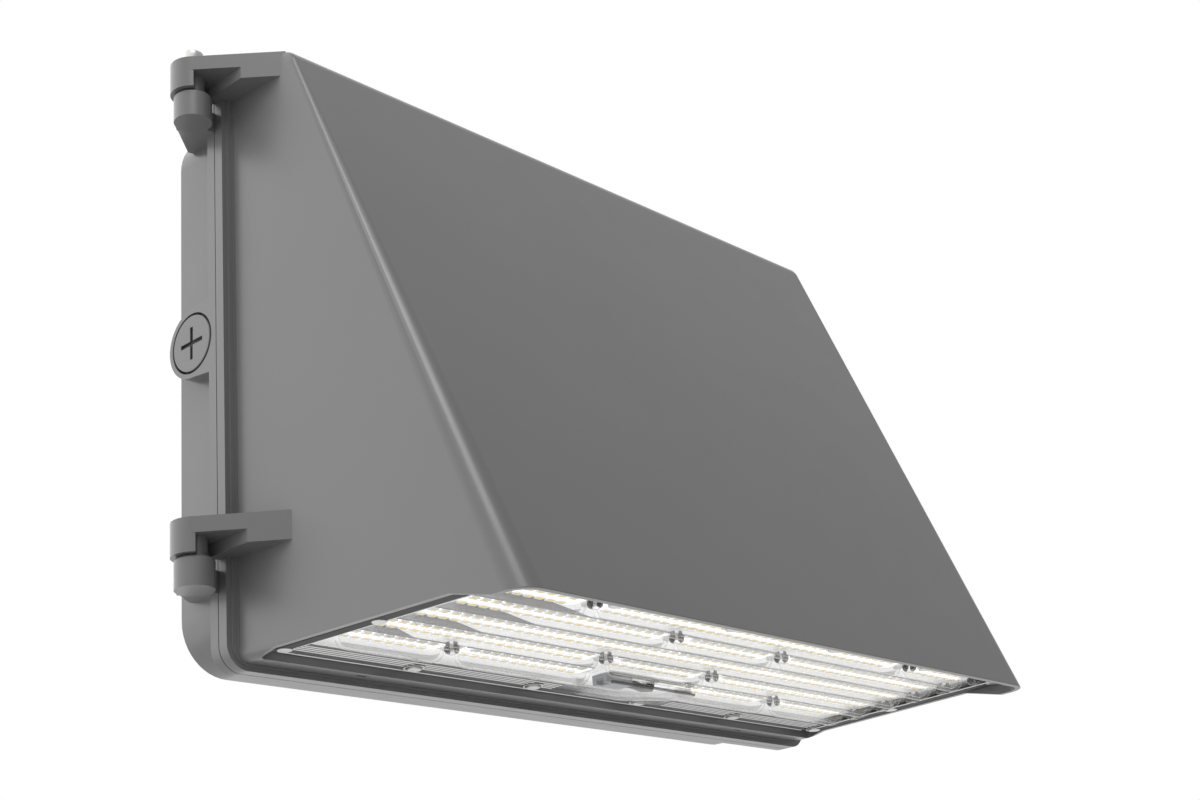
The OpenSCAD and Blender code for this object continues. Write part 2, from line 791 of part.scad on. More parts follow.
// Material below the stepped bottom edge of the side panels
module panel_edge_cut() {
    low = lip_z - 2 * cut;
    edge_start = sill_depth + slice_t;
    translate([-flange_w, 0, 0])
        rotate([90, 0, 90])
            linear_extrude(2 * flange_w)
                polygon([[-edge_start, low], [-edge_start, sill_z], [-edge_foot_depth, lip_z + edge_rise],
                    [-edge_front_depth, lip_z + edge_rise], [-edge_lip_depth, lip_z],
                    [-edge_lip_depth, low]]);
}

module door_hood() {
    color(casting_grey)
    difference() {
        union() {
            difference() {
                union() {
                    slab(flange_w, flange_h, flange_r, door_back, door_face);
                    slab(flange_w - 2 * ridge_inset, flange_h - 2 * ridge_inset, flange_r - ridge_inset,
                        door_face - cut, door_face + ridge_t);
                    slab(flange_w - 2 * shoulder_inset, flange_h - 2 * shoulder_inset,
                        flange_r - shoulder_inset, door_face - cut, door_face + ridge_t + shoulder_t);
                    hood_skin();
                    arm(half_h);
                    arm(lower_arm_z);
                    for (s = sides)
                        lug(s, door_back, door_back + door_lug_t);
                }
                hood_space();
                slab(opening_w, opening_h, opening_r, door_back - cut, sill_depth - hood_wall);
                light_recess();
                panel_edge_cut();
            }
            for (p = concat(lens_screw_places, board_screw_places))
                translate([p[0], p[1], floor_top_z - cut])
                    cylinder(r = boss_r, h = boss_h + cut);
            for (p = post_places)
                translate([p[0], p[1], floor_top_z - cut])
                    cylinder(r = post_r, h = bracket_rise + cut);
        }
        for (p = concat(lens_screw_places, board_screw_places))
            translate([p[0], p[1], floor_z - cut])
                cylinder(r = m3_r + pin_seat_clear, h = floor_t + boss_h - boss_cap_t + cut);
        for (p = post_places)
            translate([p[0], p[1], bracket_z - m4_shank])
                cylinder(r = m4_r + pin_seat_clear, h = m4_shank + cut);
        translate([grommet_x, -grommet_depth, floor_z - cut])
            cylinder(r = grommet_r, h = floor_t + 2 * cut);
        for (s = sides)
            translate([s * drain_x - drain_l / 2, -drain_depth - drain_w / 2, sill_z - cut])
                cube([drain_l, drain_w, -opening_h / 2 - sill_z + 2 * cut]);
        translate([hinge_x, -hinge_depth, half_h - knuckle_h - cut])
            cylinder(r = pin_r + pin_clear, h = knuckle_h + 2 * cut);
        translate([hinge_x, -hinge_depth, lower_arm_z - knuckle_h - cut])
            cylinder(r = pin_r + pin_clear, h = knuckle_h - lower_pin_cap + cut);
        for (s = sides) {
            bar(lug_x, s * door_screw_z, door_screw_r + lug_hole_clear,
                door_back - cut, door_face + door_lug_t);
            bar(lug_x, s * door_screw_z, retainer_r + retainer_seat_clear, door_back - cut,
                door_back + retainer_t);
        }
    }
}

// Captive door screw with a slotted head, at one of the two lugs
module door_screw(s) {
    head = door_back + door_lug_t;
    color(steel_grey)
    difference() {
        union() {
            bar(lug_x, s * door_screw_z, door_screw_r, housing_face - door_screw_engage, head);
            bar(lug_x, s * door_screw_z, door_screw_head_r, head, head + door_screw_head_h);
        }
        translate([lug_x - door_screw_head_r - cut, -head - door_screw_head_h - cut,
            s * door_screw_z - door_screw_slot_w / 2])
            cube([2 * door_screw_head_r + 2 * cut, door_screw_slot_deep + cut, door_screw_slot_w]);
    }
}

module door_screw_upper() {
    door_screw(1);
}

module door_screw_lower() {
    door_screw(-1);
}

module screw_retainers() {
    color(plastic_white)
    for (s = sides)
        difference() {
            bar(lug_x, s * door_screw_z, retainer_r, door_back, door_back + retainer_t);
            bar(lug_x, s * door_screw_z, door_screw_r + retainer_bore_clear, door_back - cut,
                door_back + retainer_t + cut);
        }
}

// Outline of the lens, narrowing to the front with the side panels
module lens_outline(inset, z, t) {
    r = lens_corner_r - inset;
    hull()
        for (s = sides) {
            front = lens_front_depth - lens_corner_r;
            translate([s * (lens_half(front) - lens_corner_r), -front, z])
                cylinder(r = r, h = t, $fn = hull_fn);
            back = lens_back_depth + recess_back_r + inset;
            translate([s * (lens_half(back) - recess_back_r - inset), -back, z])
                cylinder(r = recess_back_r, h = t, $fn = hull_fn);
        }
}

// Half-round bars along the rows, standing out of the lens by the height of the ribs
module rib_bars(r, margin, top) {
    intersection() {
        for (k = [1 : rows])
            for (seg = row_segments(k, margin))
                translate([seg[0], -row_at(k), lens_face_z + rib_r - rib_h])
                    rotate([0, 90, 0])
                        cylinder(r = r, h = seg[1] - seg[0]);
        translate([-half_w, -lip_depth, lens_face_z - rib_h])
            cube([flange_w, lip_depth, rib_h + top]);
    }
}

module lens() {
    color(clear_tint)
    difference() {
        union() {
            lens_outline(0, lens_face_z, lens_t);
            rib_bars(rib_r, 0, lens_t / 2);
            translate([window_left, -window_front_depth, lens_face_z - window_h])
                cube([window_right - window_left, window_front_depth - window_back_depth,
                    window_h + lens_t / 2]);
            for (p = lens_screw_places)
                translate([p[0], p[1], lens_face_z - lens_ring_h])
                    cylinder(r = lens_boss_r, h = lens_ring_h + lens_t / 2);
        }
        rib_bars(rib_r - rib_wall, rib_wall, lens_t + cut);
        translate([window_left + window_wall, -window_front_depth + window_wall,
            lens_face_z - window_h + window_wall])
            cube([window_right - window_left - 2 * window_wall,
                window_front_depth - window_back_depth - 2 * window_wall, window_h + lens_t]);
        for (p = lens_screw_places)
            translate([p[0], p[1], lens_face_z - lens_ring_h - cut]) {
                cylinder(r = lens_boss_r - lens_ring_w, h = lens_ring_h + cut);
                cylinder(r = m3_r + m3_clear, h = lens_ring_h + lens_t + 2 * cut);
            }
    }
}

module lens_gasket() {
    color(rubber_black)
    difference() {
        lens_outline(gasket_inset, lens_back_z, board_space);
        lens_outline(gasket_inset + gasket_w, lens_back_z - cut, board_space + 2 * cut);
    }
}

module lens_screws() {
    color(steel_grey)
    for (p = lens_screw_places)
        translate([p[0], p[1], lens_face_z])
            screw_up(m3_r, m3_head_r, m3_head_h, m3_shank + lens_t);
}

module led_board() {
    back = row_depth - board_back_gap;
    front = row_at(1) + board_front_gap;
    color(board_white)
    difference() {
        translate([0, 0, floor_z - board_t])
            linear_extrude(board_t)
                polygon([[-row_half(rows) - board_end_gap, -back], [row_half(rows) + board_end_gap, -back],
                    [row_half(1) + board_end_gap, -front], [-row_half(1) - board_end_gap, -front]]);
        for (p = board_screw_places)
            translate([p[0], p[1], floor_z - board_t - cut])
                cylinder(r = m3_r + m3_clear, h = board_t + 2 * cut);
        translate([grommet_x, -grommet_depth, floor_z - board_t - cut])
            cylinder(r = grommet_r, h = board_t + 2 * cut);
    }
}

// The two lines of chips of one row, as one bar to each unbroken stretch
module led_row(k) {
    color(chip_yellow)
    for (seg = row_segments(k, row_end_gap))
        for (s = sides)
            translate([seg[0], -row_at(k) + s * chip_line_gap / 2 - chip_w / 2, floor_z - board_t - chip_t])
                cube([seg[1] - seg[0], chip_w, chip_t]);
}

module board_screws() {
    color(steel_grey)
    for (p = board_screw_places)
        translate([p[0], p[1], floor_z - board_t])
            screw_up(m3_r, low_head_r, low_head_h, board_t + floor_t + boss_h / 2);
}

module led_connector() {
    color(plastic_grey)
    difference() {
        translate([connector_x - connector_l / 2, -connector_depth - connector_w / 2,
            floor_z - board_t - connector_h])
            cube([connector_l, connector_w, connector_h]);
        translate([connector_x - connector_l / 2 - cut, -connector_depth - connector_w / 4,
            floor_z - board_t - connector_h - cut])
            cube([connector_l / 4 + cut, connector_w / 2, connector_h / 2 + cut]);
    }
}

module cable_grommet() {
    color(rubber_black)
    translate([grommet_x, -grommet_depth, 0])
        difference() {
            union() {
                translate([0, 0, floor_z - board_t])
                    cylinder(r = grommet_r, h = floor_t + board_t);
                translate([0, 0, floor_top_z])
                    cylinder(r = grommet_flange_r, h = grommet_flange_t);
            }
            translate([0, 0, floor_z - board_t - cut])
                cylinder(r = cable_r + grommet_bore_clear,
                    h = floor_t + board_t + grommet_flange_t + 2 * cut);
        }
}

module led_cable() {
    color(rubber_black)
    tube(led_route, cable_r);
}

module driver_bracket() {
    color(steel_grey)
    difference() {
        translate([bracket_x, -bracket_depth, bracket_z])
            linear_extrude(bracket_t)
                plate2d(bracket_l, bracket_w, post_r);
        for (p = concat(post_places, fixing_places))
            translate([p[0], p[1], bracket_z - cut])
                cylinder(r = m4_r + m3_clear, h = bracket_t + 2 * cut);
    }
}

module bracket_screws() {
    color(steel_grey)
    for (p = post_places)
        translate([p[0], p[1], bracket_top_z]) {
            cylinder(r = m4_head_r, h = m4_head_h);
            translate([0, 0, -m4_shank])
                cylinder(r = m4_r, h = m4_shank);
        }
}

module driver_case() {
    color(plastic_white)
    translate([driver_x, -bracket_depth, bracket_top_z]) {
        translate([-driver_l / 2 + driver_cap_t, 0, driver_h / 2])
            rotate([90, 0, 90])
                linear_extrude(driver_l - 2 * driver_cap_t)
                    plate2d(driver_w, driver_h, driver_edge_r);
    }
}

module driver_end_caps() {
    color(plastic_grey)
    for (s = sides)
        difference() {
            translate([driver_x, -bracket_depth, bracket_top_z]) {
                translate([s * (driver_l / 2 - driver_cap_t / 2) - driver_cap_t / 2, 0, driver_h / 2])
                    rotate([90, 0, 90])
                        linear_extrude(driver_cap_t)
                            plate2d(driver_w, driver_h, driver_edge_r);
                translate([s * (driver_l / 2 + driver_foot_l / 2) - driver_foot_l / 2,
                    -driver_foot_w / 2 - driver_w / 6, 0])
                    cube([driver_foot_l, driver_foot_w, driver_foot_t]);
            }
            translate([driver_x + s * (driver_l / 2 + driver_foot_l / 2), -bracket_depth - driver_w / 6,
                bracket_top_z - cut])
                cylinder(r = m3_r + m3_clear, h = driver_foot_t + 2 * cut);
        }
}

// Places of the small screws that hold the driver, the surge protector and the supply connector
fixing_places = [[driver_x - driver_l / 2 - driver_foot_l / 2, -bracket_depth - driver_w / 6],
    [driver_x + driver_l / 2 + driver_foot_l / 2, -bracket_depth - driver_w / 6],
    [surge_x, -surge_depth + surge_w / 2 + foot_l / 2],
    [supply_x, -supply_depth - supply_w / 2 - foot_l / 2]];

module driver_screws() {
    color(steel_grey)
    for (p = fixing_places)
        translate([p[0], p[1], bracket_top_z + foot_t]) {
            cylinder(r = m3_head_r, h = m3_head_h);
            translate([0, 0, -foot_t - bracket_t - m3_head_h])
                cylinder(r = m3_r, h = foot_t + bracket_t + m3_head_h);
        }
}

module surge_protector() {
    color(rubber_black)
    difference() {
        translate([surge_x, -surge_depth, bracket_top_z]) {
            linear_extrude(surge_h)
                plate2d(surge_l, surge_w, driver_edge_r);
            translate([-surge_w / 4, surge_w / 2 - cut, 0])
                cube([surge_w / 2, foot_l + cut, foot_t]);
        }
        translate([surge_x, -surge_depth + surge_w / 2 + foot_l / 2, bracket_top_z - cut])
            cylinder(r = m3_r + m3_clear, h = foot_t + 2 * cut);
    }
}

module surge_leads() {
    color(rubber_black)
    tube(surge_route, surge_cable_r);
}

module supply_connector() {
    color(plastic_white)
    difference() {
        translate([supply_x, -supply_depth, bracket_top_z]) {
            translate([-supply_l / 2, -supply_w / 2, 0])
                cube([supply_l, supply_w, supply_h]);
            translate([-supply_l / 4, -supply_w / 2 - foot_l, 0])
                cube([supply_l / 2, foot_l + cut, foot_t]);
        }
        translate([supply_x, -supply_depth - supply_w / 2 - foot_l / 2, bracket_top_z - cut])
            cylinder(r = m3_r + m3_clear, h = foot_t + 2 * cut);
        for (i = [-1, 0, 1])
            translate([supply_x + i * port_pitch - port_w / 2, -supply_depth + supply_w / 2 - port_deep,
                bracket_top_z + port_rise])
                cube([port_w, port_deep + cut, port_w]);
    }
}

module supply_cable() {
    color(rubber_black)
    tube(supply_route, supply_cable_r);
}

back_housing();
door_gasket();
hinge_pin_upper();
hinge_pin_lower();
ground_screw();
plug_seals();
plug_left();
plug_right();
door_hood();
door_screw_upper();
door_screw_lower();
screw_retainers();
lens();
lens_gasket();
lens_screws();
led_board();
led_row(1);  // led_row_1
led_row(2);  // led_row_2
led_row(3);  // led_row_3
led_row(4);  // led_row_4
led_row(5);  // led_row_5
board_screws();
led_connector();
cable_grommet();
led_cable();
driver_bracket();
bracket_screws();
driver_case();
driver_end_caps();
driver_screws();
surge_protector();
surge_leads();
supply_connector();
supply_cable();
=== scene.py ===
# %% [markdown]
# This lesson dresses a wall pack light: a cast housing on the wall, a sloping hood that swings open on
# two pins, and a clear ribbed lens over rows of small lights. The frame holds every working piece at its
# real size, in metres, with the wall at Y = 0 and the light standing forward to -Y. The working pieces stay
# as they are: new ones are laid over them, and each rides on the same body, so that it moves with it.

# %% Load the frame
import json
import math
import bmesh
import bpy
from mathutils import Matrix, Vector

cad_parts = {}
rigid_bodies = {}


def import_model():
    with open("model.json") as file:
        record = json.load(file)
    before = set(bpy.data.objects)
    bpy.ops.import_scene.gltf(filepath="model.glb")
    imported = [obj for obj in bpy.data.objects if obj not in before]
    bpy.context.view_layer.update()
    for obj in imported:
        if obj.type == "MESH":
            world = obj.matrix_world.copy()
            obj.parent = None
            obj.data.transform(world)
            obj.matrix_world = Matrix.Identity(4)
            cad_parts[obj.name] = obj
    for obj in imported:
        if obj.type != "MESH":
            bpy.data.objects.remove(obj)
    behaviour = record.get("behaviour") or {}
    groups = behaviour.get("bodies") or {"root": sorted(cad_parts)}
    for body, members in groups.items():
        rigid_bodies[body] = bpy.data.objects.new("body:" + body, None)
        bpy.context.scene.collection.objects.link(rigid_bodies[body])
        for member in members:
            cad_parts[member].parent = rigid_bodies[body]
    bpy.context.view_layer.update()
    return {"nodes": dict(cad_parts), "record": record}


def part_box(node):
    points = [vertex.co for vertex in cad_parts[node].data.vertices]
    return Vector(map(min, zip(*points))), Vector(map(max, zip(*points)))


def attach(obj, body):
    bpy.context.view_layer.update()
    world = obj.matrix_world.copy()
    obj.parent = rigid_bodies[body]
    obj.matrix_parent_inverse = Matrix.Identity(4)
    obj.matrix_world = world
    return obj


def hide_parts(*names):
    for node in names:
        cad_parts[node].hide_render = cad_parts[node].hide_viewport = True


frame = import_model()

MM = 0.001

# %% [markdown]
# The camera comes first, because every later choice is judged through it. The light is seen from its lower
# left, so the camera stands below the hood and looks up. Three unit vectors give its turn: right, down and
# forward in the picture.

# %% Camera
CAMERA_PLACE = Vector((-571.942, -567.271, -282.361)) * MM
PICTURE_RIGHT = Vector((0.67508, -0.73325, -0.081304))
PICTURE_DOWN = Vector((0.213807, 0.299931, -0.929692))
PICTURE_FORWARD = Vector((0.706083, 0.610234, 0.359252))
SENSOR_W = 36.0
FOCAL_LENGTH = 56.3155


def add_camera():
    lens = bpy.data.cameras.new("camera")
    lens.sensor_width = SENSOR_W
    lens.lens = FOCAL_LENGTH
    camera = bpy.data.objects.new("camera", lens)
    bpy.context.scene.collection.objects.link(camera)
    turn = Matrix((PICTURE_RIGHT, -PICTURE_DOWN, -PICTURE_FORWARD)).transposed()
    camera.matrix_world = Matrix.Translation(CAMERA_PLACE) @ turn.to_4x4()
    bpy.context.scene.camera = camera
    print("camera at", [round(v, 3) for v in CAMERA_PLACE])


add_camera()

# %% [markdown]
# A material is a small network of nodes. Written out node by node it is long and hard to read, so one class
# wraps a socket and lets shader maths be written as plain Python: a * b + 0.2 adds two Math nodes. Colours
# go through Mix nodes instead, because a Math node would turn them grey. A second class holds the network,
# and its node method makes any node from a type, its settings and what feeds its sockets.

# %% Sockets that can be added and multiplied
class Socket:
    def __init__(self, net, out):
        self.net = net
        self.out = out

    def __add__(self, other):
        return self.net.math("ADD", self, other)

    def __rsub__(self, other):
        return self.net.math("SUBTRACT", other, self)

    def __mul__(self, other):
        return self.net.math("MULTIPLY", self, other)

    __radd__ = __add__
    __rmul__ = __mul__


print("sockets can be added and multiplied")


# %% One network with its nodes
class Net:
    """The node network of one material or of the world."""

    def __init__(self, tree):
        self.tree = tree
        tree.nodes.clear()

    def node(self, kind, settings=None, output=0, **inputs):
        made = self.tree.nodes.new(kind)
        for name, value in (settings or {}).items():
            setattr(made, name, value)
        for name, value in inputs.items():
            key = int(name[1:]) if name[1:].isdigit() else name.replace("_", " ")
            self.feed(made.inputs[key], value)
        return Socket(self, made.outputs[output])

    def feed(self, socket, value):
        if isinstance(value, Socket):
            self.tree.links.new(value.out, socket)
        else:
            socket.default_value = value

    def math(self, operation, a, b):
        return self.node("ShaderNodeMath", {"operation": operation}, i0=a, i1=b)

    def place(self):
        return self.node("ShaderNodeTexCoord", output="Object")

    def noise(self, scale, detail=2.0):
        return self.node("ShaderNodeTexNoise", Vector=self.place(), Scale=scale, Detail=detail)

    def drift(self, scale, least, span):
        """A value that wanders over the surface from least to least + span."""
        return self.noise(scale) * span + least

    def blend(self, factor, a, b):
        return self.node("ShaderNodeMix", {"data_type": "RGBA"}, output=2, i0=factor, i6=a, i7=b)

    def bump(self, height, strength, distance):
        return self.node("ShaderNodeBump", Strength=strength, Distance=distance, Height=height)


print("a network can be built with node, math, noise, drift, blend and bump")

# %% [markdown]
# The studio is plain. A white surround lights the object from all sides, more from the left and from behind.
# A ring of lamps could do the same, but a surround has no edges that would show in the satin paint. It is
# seen as pure white, while the light that it gives is set apart from that by strengths of its own.

# %% Studio surround
WHITE = (1, 1, 1, 1)
SURROUND_BASE = 0.38
SURROUND_LEFT = 0.85
SURROUND_TOP = 0.34
SURROUND_BACK = 1.1


def light_studio():
    world = bpy.data.worlds.new("studio")
    bpy.context.scene.world = world
    world.use_nodes = True
    net = Net(world.node_tree)
    direction = net.node("ShaderNodeTexCoord", output="Generated")
    axes = net.node("ShaderNodeSeparateXYZ", i0=direction).out.node
    x, y, z = (Socket(net, axes.outputs[i]) for i in range(3))
    left = net.math("MAXIMUM", 0.0 - x, 0.0)
    back = net.math("MAXIMUM", y, 0.0)
    top = net.math("MAXIMUM", z, 0.0)
    level = SURROUND_BASE + left * SURROUND_LEFT + back * SURROUND_BACK + top * SURROUND_TOP
    lighting = net.node("ShaderNodeBackground", Color=WHITE, Strength=level)
    seen = net.node("ShaderNodeBackground", Color=WHITE, Strength=1.0)
    is_seen = net.node("ShaderNodeLightPath", output="Is Camera Ray")
    mixed = net.node("ShaderNodeMixShader", i0=is_seen, i1=lighting, i2=seen)
    out = net.tree.nodes.new("ShaderNodeOutputWorld")
    net.feed(out.inputs["Surface"], mixed)
    bpy.context.scene.view_settings.view_transform = "Standard"
    print("surround: strength", SURROUND_BASE, "and", SURROUND_BACK, "more from behind")


light_studio()

# %% [markdown]
# A material starts as an empty network and ends at an output node. Every finish below needs both steps, so
# each is written once. The floor uses them first: a pale even surface, well below the light. A white void
# would look much the same, but a floor sends some light up to the faces turned down.

# %% Floor
FLOOR_Z = -0.75
FLOOR_SIZE = 3.0
FLOOR_DARK = (0.78, 0.78, 0.78, 1)
FLOOR_LIGHT = (0.82, 0.82, 0.82, 1)
FLOOR_SCALE = 2.0
FLOOR_ROUGH = 0.8


def new_material(name):
    material = bpy.data.materials.new(name)
    material.use_nodes = True
    return material, Net(material.node_tree)


def finish_material(net, shader):
    out = net.tree.nodes.new("ShaderNodeOutputMaterial")
    net.feed(out.inputs["Surface"], shader)


def add_floor():
    bpy.ops.mesh.primitive_plane_add(size=FLOOR_SIZE, location=(0, 0, FLOOR_Z))
    floor = bpy.context.object
    floor.name = "studio_floor"
    material, net = new_material("pale_floor")
    colour = net.blend(net.noise(FLOOR_SCALE), FLOOR_DARK, FLOOR_LIGHT)
    finish_material(net, net.node("ShaderNodeBsdfPrincipled", Base_Color=colour, Roughness=FLOOR_ROUGH))
    floor.data.materials.append(material)
    print("floor at", FLOOR_Z, "m")


add_floor()

# %% [markdown]
# Two lamps finish the light. A broad dim one near the floor fills the faces that are turned down, and a
# smaller one, high on the left, draws the pale streak along the rounded front edge of the hood. Both are
# area lamps, because a point lamp would leave hard spots on the paint.

# %% Lamps
UNDER_LIGHT_PLACE = (0, -0.2, -0.70)
UNDER_LIGHT_SIZE = 1.4
UNDER_LIGHT_WATTS = 0.1
FACING_UP = (math.pi, 0, 0)
EDGE_LIGHT_PLACE = Vector((-0.60, -0.66, 0.98))
EDGE_LIGHT_SIZE = 0.5
EDGE_LIGHT_WATTS = 5.0


def add_lamp(name, size, watts, place, turn):
    light = bpy.data.lights.new(name, "AREA")
    light.size = size
    light.energy = watts
    lamp = bpy.data.objects.new(name, light)
    bpy.context.scene.collection.objects.link(lamp)
    lamp.location = place
    lamp.rotation_euler = turn
    lamp.visible_camera = False
    print(name, watts, "W")


add_lamp("under_light", UNDER_LIGHT_SIZE, UNDER_LIGHT_WATTS, UNDER_LIGHT_PLACE, FACING_UP)
add_lamp("edge_light", EDGE_LIGHT_SIZE, EDGE_LIGHT_WATTS, EDGE_LIGHT_PLACE,
         EDGE_LIGHT_PLACE.to_track_quat("Z", "Y").to_euler())

# %% [markdown]
# The castings are die-cast aluminium under a satin grey powder coat. Powder coat isn't flat: it has a fine
# orange-peel skin, and its tone drifts a little over a large face. A painted texture could hold both, but
# noises do it without a seam or a file. A second, thin layer of gloss gives the soft sheen.

# %% Powder coat
PAINT_DARK = (0.098, 0.098, 0.099, 1)
PAINT_LIGHT = (0.111, 0.111, 0.112, 1)
PAINT_SCALE = 9.0
PAINT_GLOSS_SCALE = 60.0
PEEL_SCALE = 1100.0
PEEL_STRENGTH = 0.06
SKIN_HEIGHT = 0.2 * MM
TONE_DETAIL = 3.0


def powder_coat():
    material, net = new_material("powder_coat")
    tone = net.blend(net.noise(PAINT_SCALE, TONE_DETAIL), PAINT_DARK, PAINT_LIGHT)
    rough = net.drift(PAINT_GLOSS_SCALE, least=0.30, span=0.08)
    peel = net.bump(net.noise(PEEL_SCALE), PEEL_STRENGTH, SKIN_HEIGHT)
    finish_material(net, net.node("ShaderNodeBsdfPrincipled", Base_Color=tone, Roughness=rough,
                                  Coat_Weight=0.35, Coat_Roughness=0.3, Normal=peel))
    print("powder coat", PAINT_DARK[0], "to", PAINT_LIGHT[0])
    return material


# %% [markdown]
# Steel, rubber, mouldings and enamel differ in colour, gloss and metal, and share the rest: a slight drift
# in tone and gloss, and a grain too fine to see from afar. One function with those as its inputs makes them
# all, where a network drawn for each would say the same thing again and again.

# %% Plain finishes
GRAIN_SCALE = 900.0
GRAIN_STRENGTH = 0.05
GLOSS_SWING = 0.06


def plain(name, dark, light, rough, metal=0.0, scale=40.0):
    material, net = new_material(name)
    tone = net.blend(net.noise(scale, TONE_DETAIL), (*dark, 1), (*light, 1))
    gloss = net.drift(scale * 2, least=rough - GLOSS_SWING, span=GLOSS_SWING * 2)
    bumps = net.bump(net.noise(GRAIN_SCALE), GRAIN_STRENGTH, SKIN_HEIGHT)
    finish_material(net, net.node("ShaderNodeBsdfPrincipled", Base_Color=tone, Roughness=gloss,
                                  Metallic=metal, Normal=bumps))
    print("finish", name)
    return material


# %% [markdown]
# The lens is clear polycarbonate. A shader that bends light would be the natural choice, but two thin walls
# with air between them then mirror the white studio and hide the rows behind, which a real one shows well.
# So each wall is see-through, and a power of how edge-on it stands turns it dark: a painted shade for light
# that a real wall bends away.

# %% Clear plastic
CLEAR_SCALE = 30.0
HAZE_SCALE = 500.0
HAZE = 0.02


def clear_plastic(name, tint, grey, edge_power=9.0, edge_shade_grey=0.10, rough=0.04):
    """A thin clear wall: see-through by 1 - tint, and taking its edge grey, a painted shade, where it is seen
    edge-on.
    """
    material, net = new_material(name)
    facing = net.node("ShaderNodeLayerWeight", output="Facing", Blend=0.5)
    edge = net.math("POWER", facing, edge_power)
    gloss = net.drift(CLEAR_SCALE, least=rough - HAZE / 2, span=HAZE)
    tone = net.blend(edge, (grey, grey, grey, 1), (edge_shade_grey, edge_shade_grey, edge_shade_grey, 1))
    wall = net.node("ShaderNodeBsdfPrincipled", Base_Color=tone, Roughness=gloss)
    through = net.node("ShaderNodeBsdfTransparent", Color=WHITE)
    amount = net.noise(HAZE_SCALE) * HAZE + edge * (1 - tint) + tint
    finish_material(net, net.node("ShaderNodeMixShader", i0=amount, i1=through, i2=wall))
    print("clear finish", name)
    return material


# %% [markdown]
# The board under the lens is covered in white solder mask. White parts so close together pass light to and
# fro, and the real board looks brighter than one coat of white paint. Many small lamps in there would cost
# time and leave noise, so the white itself glows a little instead.

# %% White solder mask
MASK_GLOW = (1, 0.99, 0.96, 1)
MASK_SCALE = 80.0
MASK_GLOSS_SCALE = 120.0


def bright_white(name, glow, dark, light):
    material, net = new_material(name)
    tone = net.blend(net.noise(MASK_SCALE, TONE_DETAIL), (*dark, 1), (*light, 1))
    gloss = net.drift(MASK_GLOSS_SCALE, least=0.3, span=0.1)
    finish_material(net, net.node("ShaderNodeBsdfPrincipled", Base_Color=tone, Roughness=gloss,
                                  Emission_Color=MASK_GLOW, Emission_Strength=glow))
    print("white finish", name)
    return material


# %% [markdown]
# Every working piece names a slot, such as steel or cable_sheath. Each could be given its finish by name,
# but a table from slot to finish dresses them all in one pass. Most of the new pieces below take theirs from
# the same table, so that two pieces of one stuff match.

# %% Finishes of the working pieces
FINISHES = {
    "painted_casting": powder_coat(),
    "steel": plain("zinc_plated_steel", (0.55, 0.55, 0.53), (0.68, 0.68, 0.66), 0.30, metal=1.0),
    "bracket_steel": plain("galvanised_sheet", (0.45, 0.46, 0.47), (0.62, 0.63, 0.64), 0.42, metal=1.0,
                           scale=90.0),
    "black_rubber": plain("silicone_rubber", (0.018, 0.018, 0.018), (0.035, 0.035, 0.035), 0.62),
    "green_screw": plain("green_passivated", (0.03, 0.20, 0.06), (0.06, 0.29, 0.10), 0.38, metal=0.6),
    "clear_lens": clear_plastic("clear_polycarbonate", tint=0.02, grey=0.80, edge_power=6.0),
    "white_board": bright_white("white_solder_mask", 0.26, (0.85, 0.85, 0.855), (0.90, 0.90, 0.905)),
    "led_chips": plain("yellow_phosphor", (0.93, 0.70, 0.26), (0.97, 0.78, 0.38), 0.45, scale=700.0),
    "grey_plastic": plain("grey_moulding", (0.22, 0.23, 0.24), (0.27, 0.28, 0.29), 0.48),
    "white_plastic": plain("white_moulding", (0.76, 0.76, 0.73), (0.83, 0.83, 0.80), 0.32),
    "black_plastic": plain("black_moulding", (0.025, 0.025, 0.028), (0.042, 0.042, 0.046), 0.42),
    "driver_shell": plain("white_enamel", (0.70, 0.70, 0.68), (0.78, 0.78, 0.76), 0.36),
    "cable_sheath": plain("cable_sheath", (0.030, 0.030, 0.030), (0.050, 0.050, 0.050), 0.5),
}


def dress_nodes():
    for part in frame["record"]["subparts"]:
        mesh = frame["nodes"][part["node"]].data
        mesh.materials.clear()
        mesh.materials.append(FINISHES[part["material_slot"]])


dress_nodes()
print("materials:", len(FINISHES))

# %% [markdown]
# Pieces are shaped in edit mode, as by hand. Its operators act on whatever is selected, so these helpers
# first clear the selection, and then pick verts, edges or faces by their place or their normal. Clicking
# isn't possible in a script, and a place stays true when a size changes, where a face's number may not.

# %% Helpers for edit mode
TOUCH = 0.01 * MM
OFF_FACE = 0.05 * MM


def deselect():
    if bpy.context.object and bpy.context.object.mode == "EDIT":
        bpy.ops.object.mode_set(mode="OBJECT")
    bpy.ops.object.select_all(action="DESELECT")


def pick(thing):
    deselect()
    thing.select_set(True)
    bpy.context.view_layer.objects.active = thing


def apply_modifiers(thing):
    pick(thing)
    for modifier in list(thing.modifiers):
        bpy.ops.object.modifier_apply(modifier=modifier.name)


print("places closer than", TOUCH, "m count as one")


# %% Choosing verts, edges and faces
def edit(thing):
    pick(thing)
    bpy.ops.object.mode_set(mode="EDIT")
    bpy.ops.mesh.select_all(action="DESELECT")


def choose(thing, kind, test):
    """Select only the verts, edges or faces of a mesh in edit mode whose middle passes the test."""
    mesh = bmesh.from_edit_mesh(thing.data)
    bpy.ops.mesh.select_all(action="DESELECT")
    bpy.context.tool_settings.mesh_select_mode = (kind == "verts", kind == "edges", kind == "faces")
    for item in getattr(mesh, kind):
        if kind == "verts":
            middle = item.co
        elif kind == "edges":
            middle = (item.verts[0].co + item.verts[1].co) / 2
        else:
            middle = item.calc_center_median()
        item.select_set(bool(test(middle, item)))
    mesh.select_flush_mode()
    bmesh.update_edit_mesh(thing.data)


print("verts, edges and faces can be chosen by their place")
